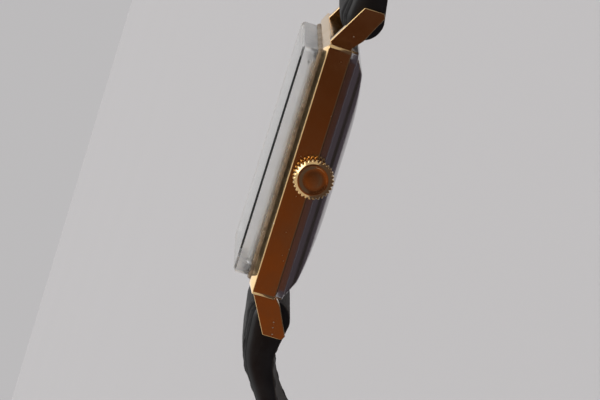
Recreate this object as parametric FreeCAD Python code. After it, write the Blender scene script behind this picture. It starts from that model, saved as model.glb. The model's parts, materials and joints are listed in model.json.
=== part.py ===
import FreeCAD, Part
import math
import os

# Rectangular wristwatch with a snap back, a square-sided crystal and a padded leather strap.
# Millimetres. +X is the crown side, +Y is 12 o'clock, +Z is out of the dial.
# The origin is the middle of the flat on the case back. The strap is unbuckled and stands
# on the floor as an open loop below the case.

Vec = FreeCAD.Vector

# Case, case back and crystal
case_length = 30.0
case_width = 24.0
case_corner = 0.5
flank_height = 2.7
flank_bevel = 0.12
bezel_rise = 0.5
bezel_run_side = 1.4
bezel_run_end = 0.8
side_wall = 1.6
lip_thickness = 0.45
lip_height = 0.5
back_bulge = 2.0
back_rim = 0.82
back_rim_inset = 0.12
back_corner = 1.3
back_wall = 0.4
back_flat_length = 6.0
back_flat_width = 15.0
back_long_radius = 50.0
back_end_slope = 1.9
joint_gap = 0.04
fit_gap = 0.1
crystal_inset_side = 2.5
crystal_inset_end = 1.4
crystal_stand = 2.17
crystal_wall = 1.1
crystal_roof = 1.1
crystal_facet = 0.25
crystal_corner = 0.6
seat_depth = 0.96
seal_bead_width = 0.4
seal_bead_height = 0.42
dial_ledge = 0.4
dial_thickness = 0.4

# Lugs, spring bars and crown
lug_thickness = 1.2
lug_reach = 4.74
lug_tip_height = 2.74
bar_reach = 3.3
bar_drop = 2.95
bar_radius = 0.75
bar_pin_radius = 0.4
bar_pin_length = 0.8
running_gap = 0.05
crown_radius = 2.35
crown_length = 1.9
crown_teeth = 30
crown_tooth_depth = 0.22
crown_travel = 0.8
crown_gap = 0.15
stem_radius = 0.45
tube_radius = 0.9
tube_length = 1.9
tube_stand = 0.4

# Movement
movement_radius = 8.75
movement_rim = 0.7
bridge_setback = 0.4
plate_thickness = 1.1
train_height = 1.4
bridge_thickness = 0.8
motion_recess = 0.7
holder_gap = 0.1
jewel_radius = 0.5
jewel_thickness = 0.3
pivot_radius = 0.13
arbor_radius = 0.25
screw_head_radius = 0.55
screw_head_height = 0.22
screw_radius = 0.3
wheel_thickness = 0.16
tooth_module = 0.1
winding_module = 0.15
centre_teeth, centre_leaves = 64, 12
barrel_teeth = 72
third_teeth, third_leaves = 60, 8
fourth_teeth, fourth_leaves = 60, 8
escape_teeth, escape_leaves = 15, 6
cannon_leaves, minute_teeth, minute_leaves, hour_teeth = 12, 36, 10, 40
setting_teeth = 18
ratchet_teeth, crown_wheel_teeth = 42, 24
contrate_teeth, winding_teeth = 18, 15
barrel_angle = 55.0
third_angle = 200.0
fourth_angle = 290.0
escape_angle = 350.0
minute_wheel_angle = -35.0
setting_wheel_angle = 10.0
balance_radius = 2.4
balance_rim = 0.3
balance_distance = 3.95
pallet_distance = 1.8
hairspring_turns = 5
mainspring_turns = 4
spiral_steps = 12
few_flats = 8
few_flats_radius = 0.8
corner_flats = 3

# Dial furniture and hands
marker_length = 1.8
marker_width = 0.45
marker_height = 0.2
marker_margin = 0.7
hour_hand_length = 5.6
minute_hand_length = 8.0
hand_thickness = 0.14
hand_width = 0.7
hour_shown = 10.0 + 10.0 / 60.0

# Strap, keepers and buckle
strap_width = 15.8
strap_end_width = 14.0
roll_radius = 2.55
roll_bore = 0.85
pad_length = 11.0
strap_thickness = 2.3
station_turn = 12.0
station_run = 12.0
end_roll_radius = 1.5
shoulder_run = 2.9
shoulder_bend = 3.5
shoulder_fall = 3.0
top_turn = 18.0
shoulder_angle = 30.0
side_run = 19.0
long_foot_turn = 18.0
short_foot_turn = 14.0
long_foot_run = 27.0
hole_count = 7
hole_pitch = 6.0
hole_radius = 0.9
hole_flats = 12
hole_margin = 20.0
keeper_width = 5.0
keeper_wall = 0.9
keeper_gap = 0.35
keeper_room = 1.8
free_keeper_rise = 9.0
fixed_keeper_back = 13.0
buckle_length = 8.2
buckle_arm = 1.8
buckle_side_gap = 0.3
front_bar_radius = 1.15
buckle_bar_radius = 0.6
tang_width = 2.0
tang_radius = 0.42
tang_seat = 0.1
tang_gap = 0.15

# Levels through the case, worked out from the sizes above
rim_z = back_bulge
rim_top_z = rim_z + back_rim
case_z = rim_top_z + joint_gap
flank_top_z = case_z + flank_height
bezel_z = flank_top_z + bezel_rise
crystal_top_z = bezel_z + crystal_stand
seat_z = bezel_z - seat_depth
dial_top_z = seat_z - dial_ledge
dial_z = dial_top_z - dial_thickness
plate_z = dial_z - plate_thickness
bridge_top_z = plate_z - train_height
bridge_z = bridge_top_z - bridge_thickness
stem_z = (rim_top_z + case_z) / 2
half_length = case_length / 2
half_width = case_width / 2
crystal_length = case_length - 2 * crystal_inset_end
crystal_width = case_width - 2 * crystal_inset_side
bar_y = half_length + bar_reach
bar_z = flank_top_z - bar_drop
lug_inner_x = strap_width / 2 + 0.15
lug_outer_x = lug_inner_x + lug_thickness
cavity_width = case_width - 2 * side_wall
cavity_length = case_length - 2 * side_wall
window_width = crystal_width - 2 * crystal_wall
window_length = crystal_length - 2 * crystal_wall


# Basic shapes

def box(x0, x1, y0, y1, z0, z1):
    return Part.makeBox(x1 - x0, y1 - y0, z1 - z0, Vec(x0, y0, z0))


def ring_points(radius, flats):
    """Corners of a regular outline round the origin."""
    turn = 2 * math.pi / flats
    return [(radius * math.cos(i * turn), radius * math.sin(i * turn)) for i in range(flats)]


def disc(x, y, radius, z0, z1):
    """Upright round bar; the tiny ones inside the movement are turned with a few flats."""
    if radius < few_flats_radius:
        return prism([(x + dx, y + dy) for dx, dy in ring_points(radius, few_flats)], z0, z1)
    return Part.makeCylinder(radius, z1 - z0, Vec(x, y, z0), Vec(0, 0, 1))


def rod_x(x0, x1, y, z, radius):
    """Round bar along X, with a few flats where it is tiny."""
    if radius < few_flats_radius:
        return side_prism([(y + dy, z + dz) for dy, dz in ring_points(radius, few_flats)], x0, x1)
    return Part.makeCylinder(radius, x1 - x0, Vec(x0, y, z), Vec(1, 0, 0))


def fused(shapes):
    first = shapes[0]
    for shape in shapes[1:]:
        first = first.fuse(shape)
    return first.removeSplitter()


def cut_all(shape, tools):
    for tool in tools:
        shape = shape.cut(tool)
    return shape


def polar(radius, degrees):
    angle = math.radians(degrees)
    return radius * math.cos(angle), radius * math.sin(angle)


def prism(points, z0, z1):
    """Upright prism over an outline of (x, y) points."""
    corners = [Vec(x, y, z0) for x, y in points]
    face = Part.Face(Part.makePolygon(corners + corners[:1]))
    return face.extrude(Vec(0, 0, z1 - z0))


def side_prism(points, x0, x1):
    """Prism along X over an outline of (y, z) points."""
    corners = [Vec(x0, y, z) for y, z in points]
    face = Part.Face(Part.makePolygon(corners + corners[:1]))
    return face.extrude(Vec(x1 - x0, 0, 0))


def small_corners(width, length, corner, z):
    """Rectangle whose small corners are turned with a few flats."""
    a, b = width / 2 - corner, length / 2 - corner
    points = []
    for i, (sx, sy) in enumerate(((1, 1), (-1, 1), (-1, -1), (1, -1))):
        for step in range(corner_flats + 1):
            dx, dy = polar(corner, 90.0 * (i + step / corner_flats))
            points.append(Vec(sx * a + dx, sy * b + dy, z))
    return Part.makePolygon(points + points[:1])


def rounded_wire(width, length, corner, z):
    """Rectangle with round corners, centred on the Z axis."""
    if corner < few_flats_radius:
        return small_corners(width, length, corner, z)
    a, b, r = width / 2, length / 2, corner
    bend = r * (1 - math.sqrt(0.5))
    edges = []
    corners = [(a, b, 1, 1), (-a, b, -1, 1), (-a, -b, -1, -1), (a, -b, 1, -1)]
    stops = []
    for cx, cy, sx, sy in corners:
        along_y = Vec(cx, cy - sy * r, z)
        along_x = Vec(cx - sx * r, cy, z)
        middle = Vec(cx - sx * bend, cy - sy * bend, z)
        if sx * sy > 0:
            stops.append((along_y, middle, along_x))
        else:
            stops.append((along_x, middle, along_y))
    for i, (start, middle, end) in enumerate(stops):
        edges.append(Part.Arc(start, middle, end).toShape())
        edges.append(Part.LineSegment(end, stops[(i + 1) % 4][0]).toShape())
    return Part.Wire(edges)


def slab(width, length, corner, z0, z1):
    face = Part.Face(rounded_wire(width, length, corner, z0))
    return face.extrude(Vec(0, 0, z1 - z0))


def stacked(levels):
    """Solid whose outline steps through (width, length, corner, z) levels with flat slopes."""
    wires = [rounded_wire(w, l, r, z) for w, l, r, z in levels]
    return Part.makeLoft(wires, True, True)


# Toothed wheels

def toothed(x, y, teeth, pitch_radius, depth, z0, z1, phase):
    """Wheel blank with pointed teeth, the first one pointing at phase degrees."""
    points = []
    pitch = 360.0 / teeth
    for i in range(teeth):
        for radius, shift in ((pitch_radius + 0.4 * depth, 0.0), (pitch_radius - 0.6 * depth, 0.5)):
            dx, dy = polar(radius, phase + (i + shift) * pitch)
            points.append((x + dx, y + dy))
    return prism(points, z0, z1)


def meshing_phase(phase, teeth, direction, other_teeth):
    """Phase of the wheel that meshes with this one, which lies in the given direction."""
    share = ((direction - phase) / (360.0 / teeth)) % 1.0
    return direction + 180.0 + (share + 0.5) * 360.0 / other_teeth


def crossings(x, y, radius, hub, arms, z0, z1):
    """Openings between the arms of a wheel, one window in each sector."""
    sector = 360.0 / arms
    windows = []
    for i in range(arms):
        outline = []
        for reach, half_angle in ((hub, 0.22), (radius, 0.4), (radius, 0.13)):
            outline.append(beyond((x, y), reach, sector * (i + half_angle)))
        for reach, half_angle in ((radius, -0.13), (radius, -0.4), (hub, -0.22)):
            outline.append(beyond((x, y), reach, sector * (i + half_angle)))
        windows.append(prism(outline, z0 - 0.1, z1 + 0.1))
    return Part.makeCompound(windows)


def spiral(x, y, inner, outer, turns, thickness, z0, z1):
    """Flat spiral band: the radius grows evenly with the angle."""
    steps = spiral_steps * turns
    inside, outside = [], []
    for i in range(steps + 1):
        share = i / steps
        middle = inner + (outer - inner) * share
        for radius, line in ((middle - thickness / 2, inside), (middle + thickness / 2, outside)):
            dx, dy = polar(radius, 360.0 * turns * share)
            line.append((x + dx, y + dy))
    return prism(inside + outside[::-1], z0, z1)


# Case

def bulge(inset):
    """Pillow under the rim: flat in the middle, long arcs to the ends, short arcs to the sides."""
    top, low = rim_z + 0.001, inset
    y_flat = back_flat_length / 2
    y_rim = half_length - 0.6 - inset
    y_knee = y_rim - back_end_slope
    reach = y_knee - y_flat
    knee_z = low + back_long_radius - math.sqrt(back_long_radius ** 2 - reach ** 2)
    half_z = low + back_long_radius - math.sqrt(back_long_radius ** 2 - (reach / 2) ** 2)
    mid_y = y_flat + reach / 2
    x0 = -half_width

    def line(a, b):
        return Part.LineSegment(Vec(x0, *a), Vec(x0, *b)).toShape()

    def arc(a, b, c):
        return Part.Arc(Vec(x0, *a), Vec(x0, *b), Vec(x0, *c)).toShape()

    edges = [line((-y_rim, top), (-y_knee, knee_z)),
             arc((-y_knee, knee_z), (-mid_y, half_z), (-y_flat, low)),
             line((-y_flat, low), (y_flat, low)),
             arc((y_flat, low), (mid_y, half_z), (y_knee, knee_z)),
             line((y_knee, knee_z), (y_rim, top)),
             line((y_rim, top), (-y_rim, top))]
    lengthwise = Part.Face(Part.Wire(edges)).extrude(Vec(case_width, 0, 0))

    x_flat = back_flat_width / 2
    x_rim = half_width - 0.6 - inset
    run = x_rim - x_flat
    drop = top - low
    radius = (run ** 2 + drop ** 2) / (2 * drop)
    mid_x = x_flat + run * 0.55
    mid_z = low + radius - math.sqrt(radius ** 2 - (mid_x - x_flat) ** 2)
    y0 = -half_length

    def across(x, z):
        return Vec(x, y0, z)

    edges = [Part.Arc(across(-x_rim, top), across(-mid_x, mid_z), across(-x_flat, low)).toShape(),
             Part.LineSegment(across(-x_flat, low), across(x_flat, low)).toShape(),
             Part.Arc(across(x_flat, low), across(mid_x, mid_z), across(x_rim, top)).toShape(),
             Part.LineSegment(across(x_rim, top), across(-x_rim, top)).toShape()]
    crosswise = Part.Face(Part.Wire(edges)).extrude(Vec(0, case_length, 0))
    return lengthwise.common(crosswise)


def case_middle():
    w, l, r, b = case_width, case_length, case_corner, flank_bevel
    body = stacked([
        (w - 2 * b, l - 2 * b, r, case_z),
        (w, l, r, case_z + b),
        (w, l, r, flank_top_z - b),
        (w - 2 * b, l - 2 * b, r, flank_top_z),
        (w - 2 * bezel_run_side, l - 2 * bezel_run_end, r, bezel_z)])
    seat = slab(crystal_width + 2 * fit_gap, crystal_length + 2 * fit_gap, crystal_corner,
                seat_z, bezel_z + 1)
    window = slab(window_width, window_length, crystal_corner, dial_top_z - 0.1, seat_z + 0.1)
    cavity = slab(cavity_width, cavity_length, case_corner, case_z - 1, dial_top_z)
    lip = slab(cavity_width + 2 * lip_thickness, cavity_length + 2 * lip_thickness, case_corner,
               case_z - 1, rim_top_z + lip_height + fit_gap)
    tube = rod_x(half_width - 3, half_width + 1, 0, stem_z, tube_radius)
    return cut_all(body, [seat, window, cavity, lip, tube])


def case_back():
    w, l = case_width - 2 * back_rim_inset, case_length - 2 * back_rim_inset
    b = flank_bevel
    rim = stacked([
        (w - 2 * b, l - 2 * b, back_corner, rim_z),
        (w, l, back_corner, rim_z + b),
        (w, l, back_corner, rim_top_z)])
    lip_w = cavity_width + 2 * lip_thickness - 2 * fit_gap
    lip_l = cavity_length + 2 * lip_thickness - 2 * fit_gap
    lip = slab(lip_w, lip_l, case_corner, rim_top_z - 0.1, rim_top_z + lip_height)
    inner = slab(lip_w - 2 * lip_thickness, lip_l - 2 * lip_thickness, case_corner,
                 rim_z, rim_top_z + lip_height + 1)
    body = fused([rim, lip, bulge(0.0)])
    notch = rod_x(half_width - 4, half_width + 1, 0, stem_z, tube_radius + fit_gap)
    return cut_all(body, [inner, bulge(back_wall), notch])


def lug(side, end):
    """Angled plate from the case end down past the spring bar, with a rounded nose."""
    top, tip = flank_top_z - flank_bevel, flank_top_z - lug_tip_height
    y0, y1 = half_length, half_length + lug_reach
    low = bar_z - (y1 - bar_y) - 0.9
    outline = [(y0, case_z + flank_bevel), (y0, top), (y1, tip), (y1, low + 0.3),
               (y1 - 0.5, low), (y0 + 1.0, case_z - 1.0)]
    plate = side_prism([(end * y, z) for y, z in outline], side * lug_inner_x, side * lug_outer_x)
    x0, x1 = sorted((side * (lug_inner_x - 0.1), side * (lug_inner_x + bar_pin_length + running_gap)))
    return plate.cut(rod_x(x0, x1, end * bar_y, bar_z, bar_pin_radius + running_gap))


def spring_bar(end):
    body = rod_x(-lug_inner_x + running_gap, lug_inner_x - running_gap, end * bar_y, bar_z, bar_radius)
    reach = lug_inner_x + bar_pin_length
    return fused([body, rod_x(-reach, reach, end * bar_y, bar_z, bar_pin_radius)])


def crystal():
    w, l, r, f = crystal_width, crystal_length, crystal_corner, crystal_facet
    body = stacked([
        (w, l, r, seat_z + 0.02),
        (w, l, r, crystal_top_z - f),
        (w - 2 * f, l - 2 * f, r, crystal_top_z)])
    hollow = slab(window_width, window_length, crystal_corner, seat_z - 1, crystal_top_z - crystal_roof)
    return body.cut(hollow)


def crystal_seal():
    """Bead of cement that fills the seat round the crystal and stands a little above the bezel."""
    w, l, r, s = crystal_width, crystal_length, crystal_corner, seal_bead_width
    skirt = slab(w + 2 * fit_gap, l + 2 * fit_gap, r, seat_z + 0.02, bezel_z)
    bead = stacked([(w + 2 * s, l + 2 * s, r, bezel_z), (w + 2 * s, l + 2 * s, r, bezel_z + 0.2),
                    (w + s, l + s, r, bezel_z + seal_bead_height)])
    hole = slab(w, l, r, seat_z - 1, bezel_z + 1)
    return fused([skirt, bead]).cut(hole)


# Crown and keyless works

def star_x(x0, x1, y, z, teeth, tip, root):
    """Toothed bar along X."""
    points = []
    for i in range(teeth):
        for radius, shift in ((tip, 0.0), (root, 0.5)):
            dy, dz = polar(radius, (i + shift) * 360.0 / teeth)
            points.append((y + dy, z + dz))
    return side_prism(points, x0, x1)


crown_x = half_width + crown_gap
crown_end_x = crown_x + crown_length
winding_x = 6.75
winding_end_x = 7.35
winding_pinion_radius = 0.95
sliding_x = 5.45
sliding_end_x = 6.6
sliding_radius = 0.68
setting_groove_x = 7.75
stem_end_x = 4.2


def crown():
    """Knurled button: pointed flutes, a plain turned collar and a slightly domed bare face."""
    knurl = star_x(crown_x + 0.25, crown_end_x - 0.3, 0, stem_z, crown_teeth,
                   crown_radius, crown_radius - crown_tooth_depth)
    core_radius = crown_radius - 0.3
    collar = Part.makeCone(core_radius - 0.15, core_radius, 0.25, Vec(crown_x, 0, stem_z), Vec(1, 0, 0))
    bevel = Part.makeCone(core_radius + 0.08, core_radius - 0.17, 0.3,
                          Vec(crown_end_x - 0.3, 0, stem_z), Vec(1, 0, 0))
    ring = rod_x(crown_end_x - 0.02, crown_end_x + 0.06, 0, stem_z, core_radius - 0.3)
    dish = rod_x(crown_end_x - 0.02, crown_end_x + 0.1, 0, stem_z, core_radius - 0.55)
    bore = rod_x(crown_x - 0.1, crown_x + 1.0, 0, stem_z, tube_radius + fit_gap)
    core = rod_x(crown_x + 0.9, crown_x + 1.5, 0, stem_z, stem_radius)
    return cut_all(fused([knurl, collar, bevel, ring]), [dish, bore, core])


def crown_gasket():
    outer = rod_x(crown_x + 0.75, crown_x + 0.99, 0, stem_z, tube_radius + fit_gap - 0.01)
    return outer.cut(rod_x(crown_x, crown_x + 2, 0, stem_z, stem_radius + 0.05))


def stem_tube():
    x1 = half_width + tube_stand
    body = rod_x(x1 - tube_length, x1, 0, stem_z, tube_radius - 0.01)
    return body.cut(rod_x(x1 - tube_length - 1, x1 + 1, 0, stem_z, stem_radius + running_gap))


def winding_stem():
    shaft = rod_x(winding_x - 0.1, crown_x + 1.48, 0, stem_z, stem_radius)
    square = box(stem_end_x, winding_x, -0.27, 0.27, stem_z - 0.27, stem_z + 0.27)
    groove_ring = rod_x(setting_groove_x - 0.25, setting_groove_x + 0.25, 0, stem_z, stem_radius + 0.1)
    groove = groove_ring.cut(rod_x(setting_groove_x - 1, setting_groove_x + 1, 0, stem_z, 0.28))
    return fused([shaft, square]).cut(groove)


def winding_pinion():
    body = star_x(winding_x, winding_end_x, 0, stem_z, winding_teeth,
                  winding_pinion_radius, winding_pinion_radius - 0.2)
    return body.cut(rod_x(winding_x - 1, winding_end_x + 1, 0, stem_z, stem_radius + running_gap))


def sliding_pinion():
    """Castle wheel: ratchet teeth towards the winding pinion, a waist for the yoke."""
    body = star_x(sliding_x, sliding_end_x, 0, stem_z, 12, sliding_radius, sliding_radius - 0.12)
    middle = (sliding_x + sliding_end_x) / 2
    waist = rod_x(middle - 0.22, middle + 0.22, 0, stem_z, 1.0)
    waist = waist.cut(rod_x(middle - 1, middle + 1, 0, stem_z, 0.45))
    return cut_all(body, [waist, rod_x(sliding_x - 1, sliding_end_x + 1, 0, stem_z, 0.41)])


lever_y = 2.0
yoke_y = 2.9
keyless_z = plate_z + 0.45


def setting_lever():
    """Lever whose pin sits in the stem's groove and moves with it."""
    arm = box(setting_groove_x - 0.35, setting_groove_x + 0.35, -0.3, lever_y, keyless_z, keyless_z + 0.18)
    hub = disc(setting_groove_x, lever_y, 0.6, keyless_z, keyless_z + 0.3)
    pin = disc(setting_groove_x, 0, 0.15, stem_z + 0.32, keyless_z + 0.1)
    return fused([arm, hub, pin])


def yoke():
    """Arm whose finger sits in the waist of the sliding pinion."""
    x = (sliding_x + sliding_end_x) / 2
    arm = box(x - 0.3, x + 0.3, 0.1, yoke_y, keyless_z, keyless_z + 0.18)
    hub = disc(x, yoke_y, 0.6, keyless_z, keyless_z + 0.3)
    finger = disc(x, 0.3, 0.14, stem_z + 0.5, keyless_z + 0.1)
    return fused([arm, hub, finger])


# Places of the arbors, from the pitch radii

centre_r = centre_teeth * tooth_module / 2
centre_pinion_r = centre_leaves * tooth_module / 2
barrel_r = barrel_teeth * tooth_module / 2
third_r = third_teeth * tooth_module / 2 * 0.8
third_pinion_r = third_leaves * tooth_module / 2
fourth_r = fourth_teeth * tooth_module / 2 * 0.7
fourth_pinion_r = third_r * fourth_leaves / third_teeth
escape_pinion_r = fourth_r * escape_leaves / fourth_teeth
escape_r = 1.45
cannon_r = cannon_leaves * tooth_module / 2
minute_r = minute_teeth * tooth_module / 2
motion_distance = cannon_r + minute_r
minute_pinion_r = motion_distance * minute_leaves / (minute_leaves + hour_teeth)
hour_r = motion_distance * hour_teeth / (minute_leaves + hour_teeth)
setting_r = setting_teeth * tooth_module / 2
ratchet_r = ratchet_teeth * winding_module / 2
crown_wheel_r = crown_wheel_teeth * winding_module / 2


def beyond(point, distance, degrees):
    dx, dy = polar(distance, degrees)
    return point[0] + dx, point[1] + dy


def bearing(a, b):
    return math.degrees(math.atan2(b[1] - a[1], b[0] - a[0]))


centre_at = (0.0, 0.0)
barrel_at = beyond(centre_at, barrel_r + centre_pinion_r, barrel_angle)
third_at = beyond(centre_at, centre_r + third_pinion_r, third_angle)
fourth_at = beyond(third_at, third_r + fourth_pinion_r, fourth_angle)
escape_at = beyond(fourth_at, fourth_r + escape_pinion_r, escape_angle)
balance_at = (escape_at[0] + balance_distance, escape_at[1])
pallet_at = (escape_at[0] + pallet_distance, escape_at[1])
minute_at = beyond(centre_at, motion_distance, minute_wheel_angle)
setting_at = beyond(minute_at, minute_r + setting_r, setting_wheel_angle)
crown_wheel_at = (barrel_at[0] + math.sqrt((ratchet_r + crown_wheel_r) ** 2 - barrel_at[1] ** 2), 0.0)
cock_foot = (7.3, -2.9)
pallet_foot = (2.1, -6.9)
bridge_screw_places = [(-5.3, 5.3), (6.8, 3.4), (-7.3, 0.6), (-4.8, -5.9)]
motion_z = dial_z - motion_recess
ratchet_top_z = bridge_z - 0.05
ratchet_z = ratchet_top_z - 0.27
train_pivots = [third_at, fourth_at, escape_at]


# Movement frame

def main_plate():
    body = disc(0, 0, movement_radius, plate_z, dial_z)
    rim = disc(0, 0, movement_radius, bridge_top_z, plate_z)
    rim = rim.cut(disc(0, 0, movement_radius - movement_rim, bridge_top_z - 1, plate_z + 1))
    relief = disc(balance_at[0], balance_at[1], balance_radius + 0.25, bridge_top_z - 1, plate_z)
    rim = rim.cut(relief)
    posts = [disc(x, y, screw_head_radius, bridge_top_z, plate_z) for x, y in bridge_screw_places]
    body = fused([body, rim] + posts)
    gap = 0.15
    cuts = [disc(0, 0, hour_r + 2 * gap, motion_z, dial_z + 1),
            disc(minute_at[0], minute_at[1], minute_r + 2 * gap, motion_z, dial_z + 1),
            disc(0, 0, arbor_radius + running_gap, plate_z - 1, dial_z + 1)]
    slot_end = movement_radius + 1
    cuts.append(box(stem_end_x - gap, slot_end, -1.15, 1.15, plate_z - 0.1, keyless_z))
    cuts.append(box(setting_at[0] - setting_r - gap, slot_end, setting_at[1] - setting_r - gap, yoke_y + 0.75, keyless_z - 0.05, dial_z + 1))
    cuts.append(rod_x(movement_radius - 1, slot_end, 0, stem_z, 0.6))
    cuts += [disc(x, y, screw_radius + running_gap, bridge_top_z - 1, plate_z + 0.3)
             for x, y in bridge_screw_places + [cock_foot, pallet_foot]]
    cuts += [disc(x, y, jewel_radius, plate_z - 0.1, plate_z + jewel_thickness)
             for x, y in train_pivots + [pallet_at, balance_at]]
    return cut_all(body, cuts)


def bridge(outline, holes, windows):
    body = prism(outline, bridge_z, bridge_top_z).common(
        disc(0, 0, movement_radius - bridge_setback, bridge_z - 1, bridge_top_z + 1))
    cuts = [disc(x, y, screw_radius + running_gap, bridge_z - 1, bridge_top_z + 1) for x, y in holes]
    cuts += [disc(x, y, screw_head_radius + 0.08, bridge_z - 1, bridge_z + 0.1) for x, y in holes]
    cuts += [disc(x, y, r, bridge_z - 1, bridge_top_z + 1) for x, y, r in windows]
    return cut_all(body, cuts)


def barrel_bridge():
    r = movement_radius
    outline = [(-r, 2.6), (1.3, 1.35), (3.1, -1.85), (r, -1.85), (r, r), (-r, r)]
    windows = [(barrel_at[0], barrel_at[1], arbor_radius + 0.35),
               (crown_wheel_at[0], crown_wheel_at[1], 1.5)]
    return bridge(outline, [bridge_screw_places[0], bridge_screw_places[1]], windows)


def train_bridge():
    r = movement_radius
    outline = [(-r, 2.4), (1.1, 1.15), (1.4, -0.9), (2.3, -1.6), (1.4, -2.6), (1.3, -r), (-r, -r)]
    windows = [(x, y, jewel_radius) for x, y in train_pivots + [centre_at]]
    return bridge(outline, bridge_screw_places[2:4], windows)


def balance_cock():
    x, y = balance_at
    z0, z1 = bridge_z, bridge_z + 0.3
    angle = math.radians(bearing(balance_at, cock_foot))
    half = 0.75
    nx, ny = -math.sin(angle) * half, math.cos(angle) * half
    arm = prism([(x + nx, y + ny), (x - nx, y - ny), (cock_foot[0] - nx, cock_foot[1] - ny),
                 (cock_foot[0] + nx, cock_foot[1] + ny)], z0, z1)
    table = disc(x, y, 0.95, z0, z1)
    foot = disc(cock_foot[0], cock_foot[1], 0.85, z0, plate_z)
    foot = foot.common(disc(0, 0, movement_radius - movement_rim - 0.02, z0, plate_z))
    body = fused([arm, table, foot])
    return cut_all(body, [disc(x, y, jewel_radius, z0 - 1, z1 + 1),
                          disc(cock_foot[0], cock_foot[1], screw_radius + running_gap, z0 - 1, plate_z + 1)])


def pallet_bridge():
    z0, z1 = plate_z - 0.9, plate_z - 0.7
    (x0, y0), (x1, y1) = pallet_at, pallet_foot
    arm = prism([(x0 - 0.6, y0), (x0 + 0.6, y0), (x1 + 0.6, y1), (x1 - 0.6, y1)], z0, z1)
    body = fused([arm, disc(x0, y0, 0.62, z0, z1), disc(x1, y1, 0.62, z0, plate_z)])
    return cut_all(body, [disc(x0, y0, 0.3, z0 - 1, z1 + 1),
                          disc(x1, y1, screw_radius + running_gap, z0 - 1, plate_z + 1)])


def jewel(x, y, radius, z0, z1, bore=pivot_radius + 0.03):
    return disc(x, y, radius, z0, z1).cut(disc(x, y, bore, z0 - 1, z1 + 1))


def jewels():
    stones = [jewel(x, y, jewel_radius - 0.01, bridge_z + 0.2, bridge_z + 0.2 + jewel_thickness)
              for x, y in train_pivots]
    stones.append(jewel(0, 0, jewel_radius - 0.01, bridge_z + 0.2, bridge_z + 0.2 + jewel_thickness,
                        arbor_radius + 0.03))
    stones.append(jewel(balance_at[0], balance_at[1], jewel_radius - 0.01, bridge_z, bridge_z + 0.3))
    stones.append(jewel(pallet_at[0], pallet_at[1], 0.29, plate_z - 0.9, plate_z - 0.7))
    stones += [jewel(x, y, jewel_radius - 0.01, plate_z, plate_z + jewel_thickness)
               for x, y in train_pivots + [pallet_at, balance_at]]
    return Part.makeCompound(stones)


def slotted_screw(x, y, head_z, tip_z):
    head = disc(x, y, screw_head_radius, head_z, head_z + screw_head_height)
    shank = disc(x, y, screw_radius, head_z + screw_head_height - 0.05, tip_z)
    slot = box(x - 1, x + 1, y - 0.08, y + 0.08, head_z - 0.1, head_z + 0.1)
    return fused([head, shank]).cut(slot)


def bridge_screws():
    heads = bridge_z + 0.1 - screw_head_height
    screws = [slotted_screw(x, y, heads, plate_z + 0.28) for x, y in bridge_screw_places]
    x, y = cock_foot
    screws.append(slotted_screw(x, y, bridge_z - screw_head_height, plate_z + 0.28))
    x, y = pallet_foot
    screws.append(slotted_screw(x, y, plate_z - 0.9 - screw_head_height, plate_z + 0.28))
    return Part.makeCompound(screws)


def movement_ring():
    """Spacer that holds the round movement in the rectangular case."""
    z0, z1 = bridge_top_z, dial_z
    inner_w = cavity_width - 2 * fit_gap - 0.3
    inner_l = cavity_length - 2 * fit_gap - 0.3
    body = slab(inner_w, inner_l, case_corner, z0, z1)
    bore = disc(0, 0, movement_radius + holder_gap, z0 - 1, z1 + 1)
    channel = rod_x(0, half_width + 1, 0, stem_z, tube_radius + 2 * fit_gap)
    return cut_all(body, [bore, channel])


clamp_places = [polar(movement_radius + 1.6, degrees) for degrees in (62, 118, 242, 298)]


def holder_clamps():
    """Four small tabs screwed to the ring that grip the edge of the movement."""
    z1 = bridge_top_z
    tabs = []
    for x, y in clamp_places:
        size = math.hypot(x, y)
        ix, iy = x * (movement_radius - 0.3) / size, y * (movement_radius - 0.3) / size
        nx, ny = -y / size * 0.45, x / size * 0.45
        tab = prism([(x + nx, y + ny), (ix + nx, iy + ny), (ix - nx, iy - ny), (x - nx, y - ny)],
                    z1 - 0.25, z1)
        head = disc(x, y, 0.6, z1 - 0.45, z1)
        tabs.append(fused([tab, head]))
    return Part.makeCompound(tabs)


# Barrel and winding work

def barrel_drum():
    x, y = barrel_at
    z0, z1 = bridge_top_z + 0.1, plate_z - 0.4
    drum = disc(x, y, barrel_r - 0.25, z0, z1)
    phase = meshing_phase(barrel_angle, centre_leaves, barrel_angle, barrel_teeth)
    teeth = toothed(x, y, barrel_teeth, barrel_r, 0.2, z1 - 0.3, z1, phase)
    hollow = disc(x, y, barrel_r - 0.45, z0 + 0.15, z1 - 0.15)
    bore = disc(x, y, arbor_radius + 0.1 + running_gap, z0 - 1, z1 + 1)
    return cut_all(fused([drum, teeth]), [hollow, bore])


def mainspring():
    x, y = barrel_at
    z0, z1 = bridge_top_z + 0.28, plate_z - 0.58
    return spiral(x, y, 0.95, barrel_r - 0.55, mainspring_turns, 0.12, z0, z1)


def barrel_arbor():
    x, y = barrel_at
    shaft = disc(x, y, arbor_radius + 0.1, ratchet_z, plate_z - 0.02)
    hook = disc(x, y, 0.8, bridge_top_z + 0.28, plate_z - 0.58)
    return fused([shaft, hook])


def ratchet_wheel():
    x, y = barrel_at
    phase = bearing(barrel_at, crown_wheel_at)
    body = toothed(x, y, ratchet_teeth, ratchet_r, 0.3, ratchet_z, ratchet_top_z, phase)
    return body.cut(disc(x, y, arbor_radius + 0.1, ratchet_z - 1, ratchet_top_z + 1))


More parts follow.
